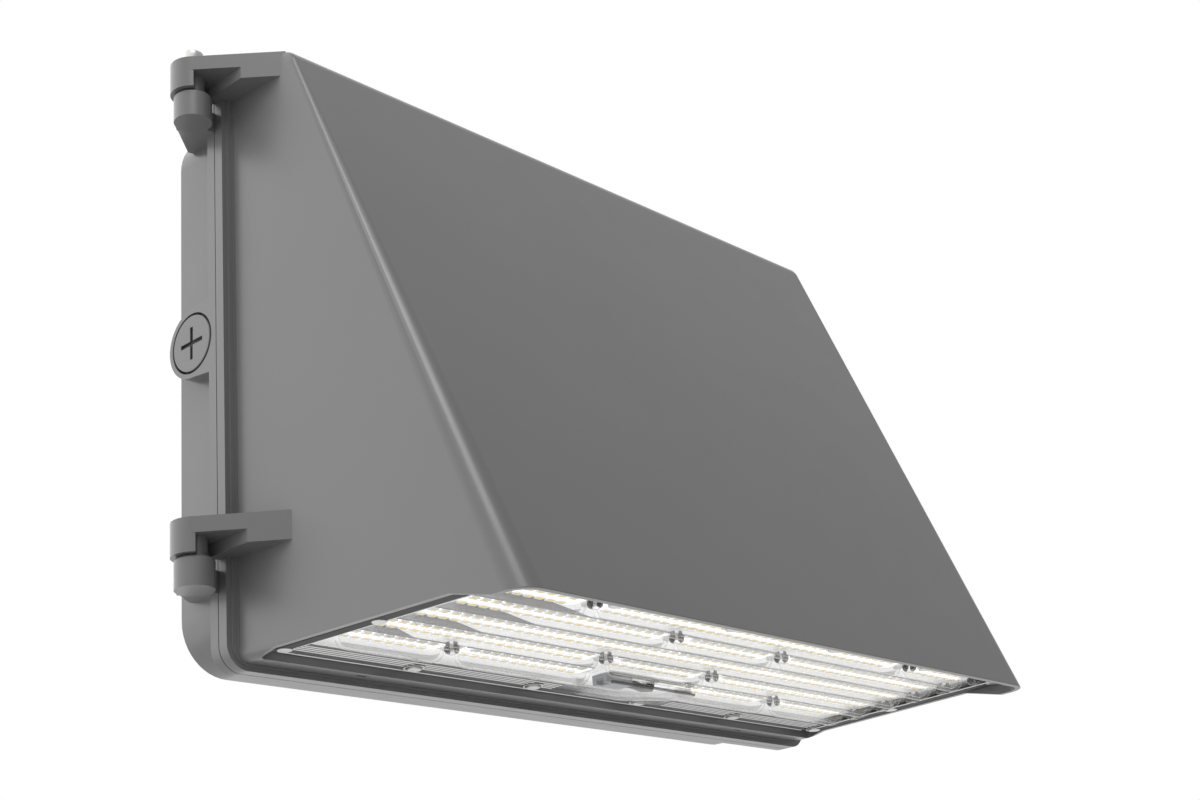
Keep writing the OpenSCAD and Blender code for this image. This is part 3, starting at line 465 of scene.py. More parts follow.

# %% [markdown]
# Most new pieces begin as a block between two corners, and are joined and smoothed in the end. A finished
# piece then needs three facts from the frame: the body that it rides on, its slot, and the working pieces
# that it stands for. One helper takes all three: the slot gives its finish, the body holds it, the pieces
# hide.

# %% Blocks, joins and smooth faces
def add_block(name, low, high):
    """A box between two corners, with its place in its mesh."""
    deselect()
    middle = [(a + b) / 2 for a, b in zip(low, high)]
    bpy.ops.mesh.primitive_cube_add(size=1, location=middle, scale=[b - a for a, b in zip(low, high)])
    block = bpy.context.object
    block.name = block.data.name = name
    bpy.ops.object.transform_apply(location=True, rotation=True, scale=True)
    return block


def join(things, name):
    deselect()
    for thing in things:
        thing.select_set(True)
    bpy.context.view_layer.objects.active = things[0]
    bpy.ops.object.join()
    whole = bpy.context.object
    whole.name = whole.data.name = name
    return whole


def smooth_by_angle(thing, degrees):
    pick(thing)
    bpy.ops.object.shade_smooth_by_angle(angle=math.radians(degrees))


print("blocks can be added, joined and smoothed")


# %% Finished pieces on their bodies
def hang(thing, body, slot, *nodes):
    """Hang a finished piece on its body and hide the nodes that it stands for. The slot is not used."""
    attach(thing, body)
    if nodes:
        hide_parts(*nodes)
    print(thing.name, len(thing.data.polygons), "faces")
    return thing


def fit_piece(thing, body, slot, *nodes):
    """Give a finished piece the finish of its slot, and hang it on its body."""
    thing.data.materials.clear()
    thing.data.materials.append(FINISHES[slot])
    return hang(thing, body, slot, *nodes)


def paint_faces(thing, material, test):
    """Give the faces that pass the test a finish of their own."""
    thing.data.materials.append(material)
    edit(thing)
    choose(thing, "faces", test)
    thing.active_material_index = len(thing.data.materials) - 1
    bpy.ops.object.material_slot_assign()
    bpy.ops.object.mode_set(mode="OBJECT")


print("helpers ready for pieces of", len(FINISHES), "slots")

# %% [markdown]
# A real casting has no knife edges: the mould rounds them, and the powder coat pulls away from the rest.
# Those small rounds catch the light as thin pale lines. Each casting is copied from its working piece, its
# loose triangles are merged into whole faces, and a narrow bevel then rounds every sharp edge. Subdivision
# would round them too, but it would bend the flats as well, which weighted normals keep flat here.

# %% Rounded copies of the castings
MERGE_DISTANCE = 0.002 * MM
FLAT_ANGLE = math.radians(0.6)
SHARP_ANGLE = math.radians(28)
ROUND_STEPS = 2
EDGE_ROUND = 0.5 * MM


def merged_copy(node, name):
    copy = frame["nodes"][node].copy()
    copy.data = copy.data.copy()
    copy.name = copy.data.name = name
    copy.parent = None
    for key in [k for k in copy.keys() if k.startswith("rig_")]:
        del copy[key]
    bpy.context.scene.collection.objects.link(copy)
    pick(copy)
    bpy.ops.object.mode_set(mode="EDIT")
    bpy.ops.mesh.customdata_custom_splitnormals_clear()
    bpy.ops.mesh.select_all(action="SELECT")
    bpy.ops.mesh.remove_doubles(threshold=MERGE_DISTANCE)
    bpy.ops.mesh.dissolve_limited(angle_limit=FLAT_ANGLE)
    bpy.ops.object.mode_set(mode="OBJECT")
    return copy


print("castings lose edges flatter than", round(math.degrees(FLAT_ANGLE), 2), "degrees")


# %% Narrow bevels
def round_edges(thing, width):
    bevel = thing.modifiers.new("edge_round", "BEVEL")
    bevel.width = width
    bevel.segments = ROUND_STEPS
    bevel.limit_method = "ANGLE"
    bevel.angle_limit = SHARP_ANGLE
    bevel.use_clamp_overlap = True
    weight = thing.modifiers.new("flat_faces", "WEIGHTED_NORMAL")
    weight.keep_sharp = True
    pick(thing)
    bpy.ops.object.shade_smooth()
    apply_modifiers(thing)


def rounded_casting(node, name, body):
    casting = merged_copy(node, name)
    round_edges(casting, EDGE_ROUND)
    fit_piece(casting, body, "painted_casting", node)


rounded_casting("door_hood", "hood_casting", "door")
rounded_casting("back_housing", "housing_casting", "housing")

# %% [markdown]
# Screws, plugs, cases and connectors get the same treatment, with fine rounds on what is turned or pressed
# and wider ones on moulded cases. The table gives them in millimetres, and bodies and slots are read from
# the frame. One width for all would swallow the screws' small edges. The two closure plugs are also drawn
# in a little, so that a dark groove shows round each.

# %% Rounded small pieces
SMALL_ROUNDS = {"door_screw_upper": 0.25, "door_screw_lower": 0.25, "lens_screws": 0.25, "board_screws": 0.25,
                "driver_case": 0.8, "driver_end_caps": 0.6, "driver_bracket": 0.3, "bracket_screws": 0.25,
                "driver_screws": 0.25, "ground_screw": 0.25, "surge_protector": 0.8, "led_connector": 0.3,
                "supply_connector": 0.4, "hinge_pin_lower": 0.2, "hinge_pin_upper": 0.2, "plug_left": 0.3,
                "plug_right": 0.3, "screw_retainers": 0.2, "cable_grommet": 0.3}
PLUG_SHARE = 0.955


def draw_in(piece, node):
    """Shrink a plug about its own line, which runs along X."""
    low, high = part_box(node)
    edit(piece)
    bpy.ops.mesh.select_all(action="SELECT")
    bpy.ops.transform.resize(value=(1, PLUG_SHARE, PLUG_SHARE), center_override=(low + high) / 2)
    bpy.ops.object.mode_set(mode="OBJECT")


def rounded_small(node, width):
    body = frame["nodes"][node].parent.name.split(":")[1]
    slot = next(part["material_slot"] for part in frame["record"]["subparts"] if part["node"] == node)
    piece = merged_copy(node, node + "_rounded")
    if node.startswith("plug"):
        draw_in(piece, node)
    round_edges(piece, width * MM)
    return fit_piece(piece, body, slot, node)


small_pieces = {node: rounded_small(node, width) for node, width in SMALL_ROUNDS.items()}
print("rounded:", len(small_pieces), "pieces")

# %% [markdown]
# The upper hinge pin ends in a domed head that stands on the hood's arm, wider than the pin. The head could
# be a piece of its own, but it is one with the pin, so the verts above the arm are picked and spread.

# %% Wider head on the upper hinge pin
ARM_TOP_Z = 121.4 * MM
HEAD_SHARE = 1.4


def widen_pin_head():
    pin = small_pieces["hinge_pin_upper"]
    low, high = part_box("hinge_pin_upper")
    edit(pin)
    choose(pin, "verts", lambda c, v: c.z > ARM_TOP_Z)
    bpy.ops.transform.resize(value=(HEAD_SHARE, HEAD_SHARE, 1), center_override=(low + high) / 2)
    bpy.ops.object.mode_set(mode="OBJECT")
    print("pin head widened")


widen_pin_head()

# %% [markdown]
# Each closure plug has a cross of two slots for a driver. On the real plug they are deep and look black, but
# in a studio that is lit from all sides some light reaches their floor. Deeper slots would cut through the
# plug, so the faces inside the cross get a black finish, as painted shade.

# %% Black cross slots of painted shade
SLOT_HALF_L = 7.2 * MM
SLOT_HALF_W = 0.9 * MM


def shade_slots_black(node):
    low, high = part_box(node)
    middle = (low + high) / 2
    face_x = max(abs(low.x), abs(high.x))

    def in_slot(c, f):
        across, up = abs(c.y - middle.y), abs(c.z - middle.z)
        short, long = sorted((across, up))
        return short < SLOT_HALF_W and long < SLOT_HALF_L and abs(c.x) < face_x - OFF_FACE

    paint_faces(small_pieces[node], FINISHES["black_rubber"], in_slot)
    print(node, "slots blackened")


for plug in ("plug_left", "plug_right"):
    shade_slots_black(plug)

# %% [markdown]
# The lens is one clear moulding: a thin plate with a hollow half-round rib over each row, a low window over
# the connector, and ringed bosses for its screws. Booleans could cut and add these one by one, but on thin
# walls they often fail. Here every form is an open bowl or ring whose rims lie in the plate's two faces,
# and one flat fill between all the rims of a face closes the whole. The plate's upright edge comes first.

# %% Sizes of the lens plate
LENS_LOW, LENS_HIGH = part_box("lens")
LENS_T = 1.5 * MM
FRONT_CORNER = 7 * MM
BACK_CORNER = 3 * MM
PLATE_TOP = LENS_HIGH.z
PLATE_FACE = PLATE_TOP - LENS_T


def half_width(node, y_low, y_high):
    """Widest reach of a node along X between two depths."""
    return max(abs(v.co.x) for v in frame["nodes"][node].data.vertices if y_low < v.co.y < y_high)


def open_at(thing, z, side):
    """Delete the faces that lie above (side 1) or below (side -1) a height, which leaves an open rim."""
    edit(thing)
    choose(thing, "faces", lambda c, f: (c.z - z) * side > -TOUCH)
    bpy.ops.mesh.delete(type="FACE")
    bpy.ops.object.mode_set(mode="OBJECT")


print("lens", [round(v, 4) for v in LENS_HIGH - LENS_LOW], "m")

# %% Edge of the plate
LENS_FRONT_HALF = half_width("lens", LENS_LOW.y, LENS_LOW.y + FRONT_CORNER)
CORNER_STEPS = 8


def side_half(y):
    """Half width of the plate at one depth, along its slanted side."""
    share = (LENS_HIGH.y - y) / (LENS_HIGH.y - LENS_LOW.y)
    return LENS_HIGH.x + (LENS_FRONT_HALF - LENS_HIGH.x) * share


def add_lens_band():
    """The upright edge of the plate: a block, narrowed to the front, with round corners and no flat faces."""
    half = LENS_HIGH.x
    band = add_block("clear_lens", (-half, LENS_LOW.y, PLATE_FACE), (half, LENS_HIGH.y, PLATE_TOP))
    middle = (LENS_LOW.y + LENS_HIGH.y) / 2
    edit(band)
    choose(band, "verts", lambda c, v: c.y < middle)
    bpy.ops.transform.resize(value=(LENS_FRONT_HALF / half, 1, 1), center_override=(0, 0, 0))
    for front, radius in ((True, FRONT_CORNER), (False, BACK_CORNER)):
        choose(band, "edges", lambda c, e: abs(e.verts[0].co.z - e.verts[1].co.z) > LENS_T / 2
               and (c.y < middle) == front)
        bpy.ops.mesh.bevel(offset=radius, segments=CORNER_STEPS, affect="EDGES")
    open_at(band, PLATE_TOP, 1)
    open_at(band, PLATE_FACE, -1)
    print("lens band", len(band.data.polygons), "faces")
    return band


lens_forms = [add_lens_band()]

# %% [markdown]
# Five ribs cross the lens, and some stop at the board's screws, so a rib is laid along each stretch between
# two stops. The longest row is the last, at the back, and it also makes way for the window. The places of
# the rows come from the frame, while those of the breaks are read off the real lens.

# %% Stretches of the rows
ROWS = [f"led_row_{k}" for k in range(1, 6)]
LAST_ROW = len(ROWS) - 1
RIB_END_ROOM = 4 * MM
BREAK_HALF = 4.5 * MM
OUTER_BREAK_X = 96.4 * MM
INNER_BREAK_X = 32.1 * MM
ROW_BREAKS = [[OUTER_BREAK_X], [INNER_BREAK_X], [], [INNER_BREAK_X], [OUTER_BREAK_X]]
WINDOW_LOW = Vector((-20, -84, -120)) * MM
WINDOW_HIGH = Vector((32, -62, -115)) * MM
WINDOW_CLEAR = 2 * MM


def read_row(node):
    """Depth and half length of a row, read from its node."""
    low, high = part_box(node)
    return (low.y + high.y) / 2, high.x + RIB_END_ROOM


ROW_LINES = [read_row(node) for node in ROWS]


def break_middles(k):
    return sorted(side * x for x in ROW_BREAKS[k] for side in (-1, 1))


def row_stops(k):
    """Stretches of row k between its breaks: [(left end, right end), ...]."""
    reach = ROW_LINES[k][1]
    cuts = [(x - BREAK_HALF, x + BREAK_HALF) for x in break_middles(k)]
    if k == LAST_ROW:
        cuts.insert(1, (WINDOW_LOW.x - WINDOW_CLEAR, WINDOW_HIGH.x + WINDOW_CLEAR))
    ends = [-reach] + [x for cut in cuts for x in cut] + [reach]
    return list(zip(ends[0::2], ends[1::2]))


print("stretches in each row:", [len(row_stops(k)) for k in range(len(ROWS))])

# %% [markdown]
# A rib has round ends and the same wall all over. A cylinder with two half balls would leave seams where
# they meet. A ball that is split at its middle, pulled apart and bridged has none, and half of it is the
# bowl. A slimmer and deeper bowl inside makes the hollow.

# %% Ribs
RIB_HALF = 5.2 * MM
RIB_DEEP = 4.3 * MM
RIB_WALL = 1.2 * MM
BAR_SIDES = 48
BAR_RINGS = 24


def add_trough(x0, x1, y, z, half, deep):
    """A long bowl with round ends: a ball split at its middle, pulled apart, bridged and cut in half."""
    deselect()
    bpy.ops.mesh.primitive_uv_sphere_add(segments=BAR_SIDES, ring_count=BAR_RINGS, radius=half,
                                         rotation=(0, math.pi / 2, 0))
    bar = bpy.context.object
    bpy.ops.object.transform_apply(location=True, rotation=True, scale=True)
    edit(bar)
    choose(bar, "faces", lambda c, f: c.x > 0)
    bpy.ops.mesh.split()
    bpy.ops.transform.translate(value=(x1 - x0 - 2 * half, 0, 0))
    choose(bar, "edges", lambda c, e: e.is_boundary)
    bpy.ops.mesh.bridge_edge_loops()
    bpy.ops.mesh.select_all(action="SELECT")
    bpy.ops.transform.resize(value=(1, 1, deep / half), center_override=(0, 0, 0))
    bpy.ops.transform.translate(value=(x0 + half, y, z))
    bpy.ops.object.mode_set(mode="OBJECT")
    open_at(bar, z, 1)
    return bar


def add_rib_bowls():
    bowls = []
    for k, (y, _) in enumerate(ROW_LINES):
        for x0, x1 in row_stops(k):
            bowls.append(add_trough(x0, x1, y, PLATE_FACE, RIB_HALF, RIB_DEEP))
            bowls.append(add_trough(x0 + RIB_WALL, x1 - RIB_WALL, y, PLATE_TOP, RIB_HALF - RIB_WALL,
                                    RIB_DEEP + LENS_T - RIB_WALL))
    print("rib bowls:", len(bowls))
    return bowls


lens_forms += add_rib_bowls()

# %% [markdown]
# A shallow oblong box in the lens, the window, makes room for the connector and its cable. It is two open
# boxes, one in the other, each with its edges bevelled while its rim stays sharp. That gives a wall of even
# thickness, as a mould would, where a bevel on one solid box would round the rim away as well.

# %% Window over the connector
WINDOW_WALL = 1.2 * MM
WINDOW_ROUND = 1.0 * MM
WINDOW_STEPS = 3


def add_window_bowls():
    wall = Vector((WINDOW_WALL, WINDOW_WALL, WINDOW_WALL))
    outer = add_block("window", WINDOW_LOW, (WINDOW_HIGH.x, WINDOW_HIGH.y, PLATE_FACE))
    inner = add_block("window_hollow", WINDOW_LOW + wall,
                      (WINDOW_HIGH.x - wall.x, WINDOW_HIGH.y - wall.y, PLATE_TOP))
    for box, rim, radius in ((outer, PLATE_FACE, WINDOW_ROUND), (inner, PLATE_TOP, WINDOW_ROUND / 2)):
        open_at(box, rim, 1)
        edit(box)
        choose(box, "edges", lambda c, e: not e.is_boundary)
        bpy.ops.mesh.bevel(offset=radius, segments=WINDOW_STEPS, affect="EDGES")
        bpy.ops.object.mode_set(mode="OBJECT")
    print("window", [round(v, 3) for v in WINDOW_HIGH - WINDOW_LOW], "m")
    return [outer, inner]


lens_forms += add_window_bowls()

# %% [markdown]
# Each screw of the lens stands in a ringed boss. A ring is turned, as on a lathe: a circle is extruded from
# one radius and height to the next. Spin would do the same, but it leaves a seam to be merged. Each profile
# is a list of radius and height, in millimetres, from the outside in.

# %% Rings turned as on a lathe
BOSS_SIDES = 40


def add_turned(name, x, y, steps):
    """Rings round an upright line: a circle of radius r at height z is extruded on to the next r and z."""
    deselect()
    start, base = steps[0]
    bpy.ops.mesh.primitive_circle_add(vertices=BOSS_SIDES, radius=start, location=(x, y, base))
    turned = bpy.context.object
    turned.name = turned.data.name = name
    bpy.ops.object.transform_apply(location=True, rotation=True, scale=True)
    edit(turned)
    bpy.ops.mesh.select_all(action="SELECT")
    for (r0, z0), (r1, z1) in zip(steps, steps[1:]):
        bpy.ops.mesh.extrude_region()
        bpy.ops.transform.resize(value=(r1 / r0, r1 / r0, 1), center_override=(x, y, 0))
        bpy.ops.transform.translate(value=(0, 0, z1 - z0))
    bpy.ops.object.mode_set(mode="OBJECT")
    return turned


print("rings have", BOSS_SIDES, "sides")

# %% Bosses in their places
SCREW_HOLE_R = 1.75 * MM
BIG_BOSS = [(4.4, 0), (4.2, 0.9), (3.4, 0.9), (3.2, 0)]
SMALL_BOSS = [(4.0, 0), (3.8, 0.9), (3.2, 0.9), (3.0, 0)]
BACK_SCREW_Y = -52.0 * MM
MID_SCREW_Y = -98.55 * MM
FRONT_SCREW_Y = LENS_LOW.y + 6.4 * MM
SIDE_SCREW_IN = 4.3 * MM


def down_steps(profile):
    return [(r * MM, PLATE_FACE - h * MM) for r, h in profile]


def add_boss(x, y, profile):
    hole = [(SCREW_HOLE_R, PLATE_FACE), (SCREW_HOLE_R, PLATE_TOP)]
    return add_turned("boss", x, y, down_steps(profile) + hole)


def add_bosses():
    places = []
    for y, inner_profile in ((BACK_SCREW_Y, BIG_BOSS), (FRONT_SCREW_Y, SMALL_BOSS)):
        for x in (INNER_BREAK_X, OUTER_BREAK_X):
            places += [(x, y, inner_profile), (-x, y, inner_profile)]
        side = side_half(y) - SIDE_SCREW_IN
        places += [(side, y, SMALL_BOSS), (-side, y, SMALL_BOSS)]
    side = side_half(MID_SCREW_Y) - SIDE_SCREW_IN
    places += [(side, MID_SCREW_Y, SMALL_BOSS), (-side, MID_SCREW_Y, SMALL_BOSS)]
    print("bosses:", len(places))
    return [add_boss(*place) for place in places]


lens_forms += add_bosses()

# %% [markdown]
# Small cups hang from the plate beside the breaks and at the right ends of the rows, most likely to make
# room for the heads of the board's screws. A cup is turned like a boss, with its floor rounded in by a few
# shares of its radius and depth, and then capped. Half a ball would be quicker, but a cup has an upright
# wall and a nearly flat floor.

# %% Cups over the board's screws
WELL_R = 2.9 * MM
END_WELL_R = 3.4 * MM
WELL_AHEAD = 9.2 * MM
WELL_SIDE = -7.5 * MM
WELL_DEEP = 2.8 * MM
WELL_WALL = 0.6 * MM
WELL_SHARES = [(1.0, 0.0), (0.97, 0.55), (0.85, 0.80), (0.6, 0.95), (0.2, 1.0)]


def well_places():
    places = []
    for k, (y, _) in enumerate(ROW_LINES):
        places += [(x + WELL_SIDE, y - WELL_AHEAD, WELL_R) for x in break_middles(k)]
    return places + [(reach, y - WELL_AHEAD, END_WELL_R) for y, reach in ROW_LINES]


WELL_PLACES = well_places()


def add_cup(x, y, radius, top, deep):
    """A turned cup that hangs from a height, closed below."""
    cup = add_turned("well", x, y, [(radius * share, top - deep * down) for share, down in WELL_SHARES])
    edit(cup)
    choose(cup, "edges", lambda c, e: e.is_boundary and c.z < top - deep + TOUCH)
    bpy.ops.mesh.edge_face_add()
    bpy.ops.object.mode_set(mode="OBJECT")
    return cup


def add_wells():
    """Each well is a wall inside a wall."""
    cups = []
    for x, y, radius in WELL_PLACES:
        cups.append(add_cup(x, y, radius, PLATE_FACE, WELL_DEEP))
        cups.append(add_cup(x, y, radius - WELL_WALL, PLATE_TOP, WELL_DEEP + LENS_T - WELL_WALL))
    print("wells:", len(WELL_PLACES))
    return cups


lens_forms += add_wells()

# %% [markdown]
# All the forms are joined, and the plate's two faces are filled between their rims. A filled face is one
# step for Blender and has no overlap that could spoil the see-through finish, as walls pushed through each
# other would. The normals are then made to point outwards, and only shallow angles are smoothed.

# %% One closed lens
LENS_SMOOTH_DEGREES = 35


def close_flat(thing, z):
    """Fill a flat face between all the open rims at one height."""
    edit(thing)
    choose(thing, "edges", lambda c, e: e.is_boundary and all(abs(v.co.z - z) < TOUCH for v in e.verts))
    bpy.ops.mesh.fill()
    bpy.ops.object.mode_set(mode="OBJECT")


lens_piece = join(lens_forms, "clear_lens")
close_flat(lens_piece, PLATE_FACE)
close_flat(lens_piece, PLATE_TOP)
edit(lens_piece)
bpy.ops.mesh.select_all(action="SELECT")
bpy.ops.mesh.normals_make_consistent(inside=False)
bpy.ops.object.mode_set(mode="OBJECT")
smooth_by_angle(lens_piece, LENS_SMOOTH_DEGREES)
fit_piece(lens_piece, "door", "clear_lens", "lens")

# %% [markdown]
# Clear plastic looks dark where a wall is seen side-on, as the line of sight runs along it, and whiter where
# a raised ring mirrors the white studio. A see-through shader can't know how thick a wall is, so the faces
# are picked by their slant and place, and get clear finishes of their own: painted shade and painted
# reflection.

# %% Painted shade on side walls, painted reflection on rings
# The dark finish of the side walls is painted shade.
CLEAR_SIDE_SHADE = clear_plastic("dark_side_walls", tint=0.75, grey=0.06)
# The whiter clear finish of the rings is a painted reflection of the white studio.
CLEAR_PAINTED_SHEEN = clear_plastic("satin_rings", tint=0.75, grey=0.90, edge_power=3.0, edge_shade_grey=0.45, rough=0.3)
RING_REACH = 8.5 * MM
SIDE_ON = Vector((0.68, -0.73, 0))
SIDE_SLANT = 0.33
FLAT_SLANT = 0.7
WINDOW_ROOM = 1 * MM
WINDOW_SLANTS = (0.2, 0.95)


def in_well(middle):
    return any((middle.x - x) ** 2 + (middle.y - y) ** 2 < (r + TOUCH) ** 2 for x, y, r in WELL_PLACES)


def near_window(middle):
    return (WINDOW_LOW.x - WINDOW_ROOM < middle.x < WINDOW_HIGH.x + WINDOW_ROOM
            and middle.y > WINDOW_LOW.y - WINDOW_ROOM)


def by_back_screws(middle):
    return middle.y > BACK_SCREW_Y - RING_REACH and middle.z < PLATE_FACE - OFF_FACE


def is_painted_shade_side(middle, face):
    if in_well(middle):
        return abs(face.normal.dot(SIDE_ON)) > SIDE_SLANT
    if middle.z > PLATE_FACE + OFF_FACE:
        return False
    if near_window(middle):
        is_round = WINDOW_SLANTS[0] < abs(face.normal.z) < WINDOW_SLANTS[1]
        return is_round and middle.y < WINDOW_LOW.y + WINDOW_CLEAR
    return by_back_screws(middle) and abs(face.normal.z) < FLAT_SLANT


def is_ring(middle, face):
    return by_back_screws(middle) and abs(face.normal.z) >= FLAT_SLANT


paint_faces(lens_piece, CLEAR_SIDE_SHADE, is_painted_shade_side)
paint_faces(lens_piece, CLEAR_PAINTED_SHEEN, is_ring)
print("lens finishes:", [material.name for material in lens_piece.data.materials])

# %% [markdown]
# Fine beads run along the back of the lens, wide rings stand round its back screws, and a thin line follows
# each side. They are too slight to be worth closing into the plate, so they lie on it as open half-round
# shells and closed rings, made with the trough and the lathe from above, and joined into one piece.

# %% Beads
BEAD_R = 0.55 * MM
BEAD_INS = [0.6 * MM, 6.0 * MM, 8.0 * MM, 10.0 * MM, 12.0 * MM]
BEAD_END_ROOM = 6 * MM


def add_back_beads():
    """Each bead stops at the window, but for the first, which runs behind it."""
    beads = []
    reach = LENS_HIGH.x - BEAD_END_ROOM
    for inset in BEAD_INS:
        stops = [] if inset == BEAD_INS[0] else [WINDOW_LOW.x, WINDOW_HIGH.x]
        ends = [-reach] + stops + [reach]
        for x0, x1 in zip(ends[0::2], ends[1::2]):
            beads.append(add_trough(x0, x1, LENS_HIGH.y - inset, PLATE_FACE, BEAD_R, BEAD_R))
    return beads


bead_forms = add_back_beads()
print("back beads:", len(bead_forms))

# %% Rings and side lines
RINGS = [[(8.4, 0), (8.2, 1.4), (7.3, 1.4), (7.1, 0), (8.4, 0)],
         [(6.3, 0), (6.1, 1.6), (5.4, 1.6), (5.2, 0), (6.3, 0)]]
BACK_RING_Y = -54.6 * MM
SIDE_LINE_IN = 6.1 * MM
LIP_FACE = PLATE_FACE - 1.4 * MM


def add_ring(x, profile):
    ring = add_turned("ring", x, BACK_RING_Y, down_steps(profile))
    edit(ring)
    bpy.ops.mesh.select_all(action="SELECT")
    bpy.ops.mesh.remove_doubles(threshold=MERGE_DISTANCE)
    bpy.ops.object.mode_set(mode="OBJECT")
    return ring


def add_side_line(side):
    """A bead that is turned to follow the slanted side."""
    x0, y0 = side * (side_half(LENS_HIGH.y) - SIDE_LINE_IN), LENS_HIGH.y - BACK_CORNER
    x1, y1 = side * (side_half(LENS_LOW.y) - SIDE_LINE_IN), LENS_LOW.y + FRONT_CORNER
    line = add_trough(0, math.hypot(x1 - x0, y1 - y0), 0, LIP_FACE + BEAD_R, BEAD_R, BEAD_R)
    edit(line)
    bpy.ops.mesh.select_all(action="SELECT")
    bpy.ops.transform.rotate(value=-math.atan2(y1 - y0, x1 - x0), orient_axis="Z", center_override=(0, 0, 0))
    bpy.ops.transform.translate(value=(x0, y0, 0))
    bpy.ops.object.mode_set(mode="OBJECT")
    return line


for x in (-OUTER_BREAK_X, -INNER_BREAK_X, INNER_BREAK_X, OUTER_BREAK_X):
    bead_forms += [add_ring(x, profile) for profile in RINGS]
bead_forms += [add_side_line(side) for side in (-1, 1)]
beads = join(bead_forms, "lens_beads")
# The beads take the same painted reflection.
beads.data.materials.append(CLEAR_PAINTED_SHEEN)
print("beads, rings and lines:", len(bead_forms))

# %% [markdown]
# The wide rings are white on their flat faces, a painted highlight, and every steep side in this piece is
# grey, a painted shade. Rings and beads of one tone would run together under the lens. The faces are picked
# by slant and height once more, which saves a piece for each tone.

# %% Painted highlight and shade on the rings
RING_SIDE_SHADE = clear_plastic("grey_ring_sides", tint=0.7, grey=0.16, edge_power=3.0, edge_shade_grey=0.08, rough=0.3)
RING_FACE_HIGHLIGHT = clear_plastic("white_ring_faces", tint=0.92, grey=0.98, edge_power=3.0, edge_shade_grey=0.6, rough=0.2)
RING_LOW = PLATE_FACE - 0.6 * MM
RING_SIDE_SLANT = 0.62
RING_FACE_SLANT = 0.9
BEAD_SMOOTH_DEGREES = 30


def is_ring_face(middle, face):
    is_low_ring = middle.z < RING_LOW and middle.y > BACK_RING_Y - RING_REACH
    return is_low_ring and abs(face.normal.z) > RING_FACE_SLANT


paint_faces(beads, RING_SIDE_SHADE, lambda c, f: abs(f.normal.z) < RING_SIDE_SLANT)
paint_faces(beads, RING_FACE_HIGHLIGHT, is_ring_face)
smooth_by_angle(beads, BEAD_SMOOTH_DEGREES)
hang(beads, "door", "clear_lens")

# %% [markdown]
# A dark lip with an angle profile runs along each slanted side of the lens: an upright web and a flat ledge.
# One bar with a stepped section would do, but two plain bars are easier to set to the slant, by moving their
# ends. The left lip is made like the right one, then mirrored, and its faces are turned out again.

# %% Dark lip along both sides of the lens
LIP_T = 0.8 * MM
LIP_W = 5.6 * MM
LIP_GAP = 0.1 * MM
LIP_ROUND = LIP_T / 6


def add_side_bar(low_in, high_in, z0, z1):
    """A bar beside the slanted edge of the plate, between two distances from it."""
    y0, y1 = LENS_LOW.y + FRONT_CORNER, LENS_HIGH.y - BACK_CORNER
    bar = add_block("side_lip", (-high_in, y0, z0), (-low_in, y1, z1))
    edit(bar)
    for y in (y0, y1):
        choose(bar, "verts", lambda c, v: abs(c.y - y) < LIP_T)
        bpy.ops.transform.translate(value=(side_half(y), 0, 0))
    bpy.ops.mesh.select_all(action="SELECT")
    bpy.ops.mesh.bevel(offset=LIP_ROUND, segments=ROUND_STEPS, affect="EDGES")
    bpy.ops.object.mode_set(mode="OBJECT")
    return bar


def add_side_lip(side):
    lip = join([add_side_bar(LIP_GAP, LIP_T, LIP_FACE, PLATE_FACE),
                add_side_bar(LIP_GAP, LIP_W, LIP_FACE, LIP_FACE + LIP_T)], "side_lip")
    if side < 0:
        edit(lip)
        bpy.ops.mesh.select_all(action="SELECT")
        bpy.ops.transform.mirror(constraint_axis=(True, False, False), center_override=(0, 0, 0))
        bpy.ops.mesh.flip_normals()
        bpy.ops.object.mode_set(mode="OBJECT")
    return lip


lips = join([add_side_lip(-1), add_side_lip(1)], "lens_side_lips")
fit_piece(lips, "door", "black_rubber")

# %% [markdown]
# Each stretch of a row sits on a bright strip of solder mask, which glows as painted light, with a thin grey
# ledge of painted shadow at its front. A painted patch on the board would be flat and soft at its edge. A
# very thin block keeps the step between strip and board, and its two tones stay sharp in every view.

# %% Bright strips, glowing as painted light
STRIP_GLOW_WHITE = bright_white("bright_solder_mask", 1.0, (0.90, 0.90, 0.885), (0.95, 0.95, 0.94))
PAINTED_SHADE_GREY = plain("grey_reflector", (0.17, 0.17, 0.17), (0.20, 0.20, 0.20), 0.45)
BOARD_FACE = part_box("led_board")[0].z
STRIP_FRONT = 4.9 * MM
STRIP_BACK = 3.2 * MM
STRIP_T = 0.2 * MM
STRIP_ROUND = 0.15 * MM
SHADOW_LEDGE_W = 0.3 * MM
SHADOW_LEDGE_T = 0.4 * MM


def add_strip(x0, x1, y):
    """The glowing strip that a stretch of light sources sits on, with a ledge of painted shadow."""
    strip = add_block("strip", (x0, y - STRIP_FRONT, BOARD_FACE - STRIP_T), (x1, y + STRIP_BACK, BOARD_FACE))
    strip.data.materials.append(STRIP_GLOW_WHITE)
    edit(strip)
    choose(strip, "edges", lambda c, e: abs(e.verts[0].co.z - e.verts[1].co.z) > STRIP_T / 2)
    bpy.ops.mesh.bevel(offset=STRIP_ROUND, segments=ROUND_STEPS, affect="EDGES")
    bpy.ops.object.mode_set(mode="OBJECT")
    # The grey ledge is painted shadow at the strip's front edge.
    ledge = add_block("ledge", (x0, y - STRIP_FRONT - SHADOW_LEDGE_W, BOARD_FACE - SHADOW_LEDGE_T),
                      (x1, y - STRIP_FRONT, BOARD_FACE))
    ledge.data.materials.append(PAINTED_SHADE_GREY)
    return join([strip, ledge], "strip")


print("strips stand", STRIP_T, "m off the board")

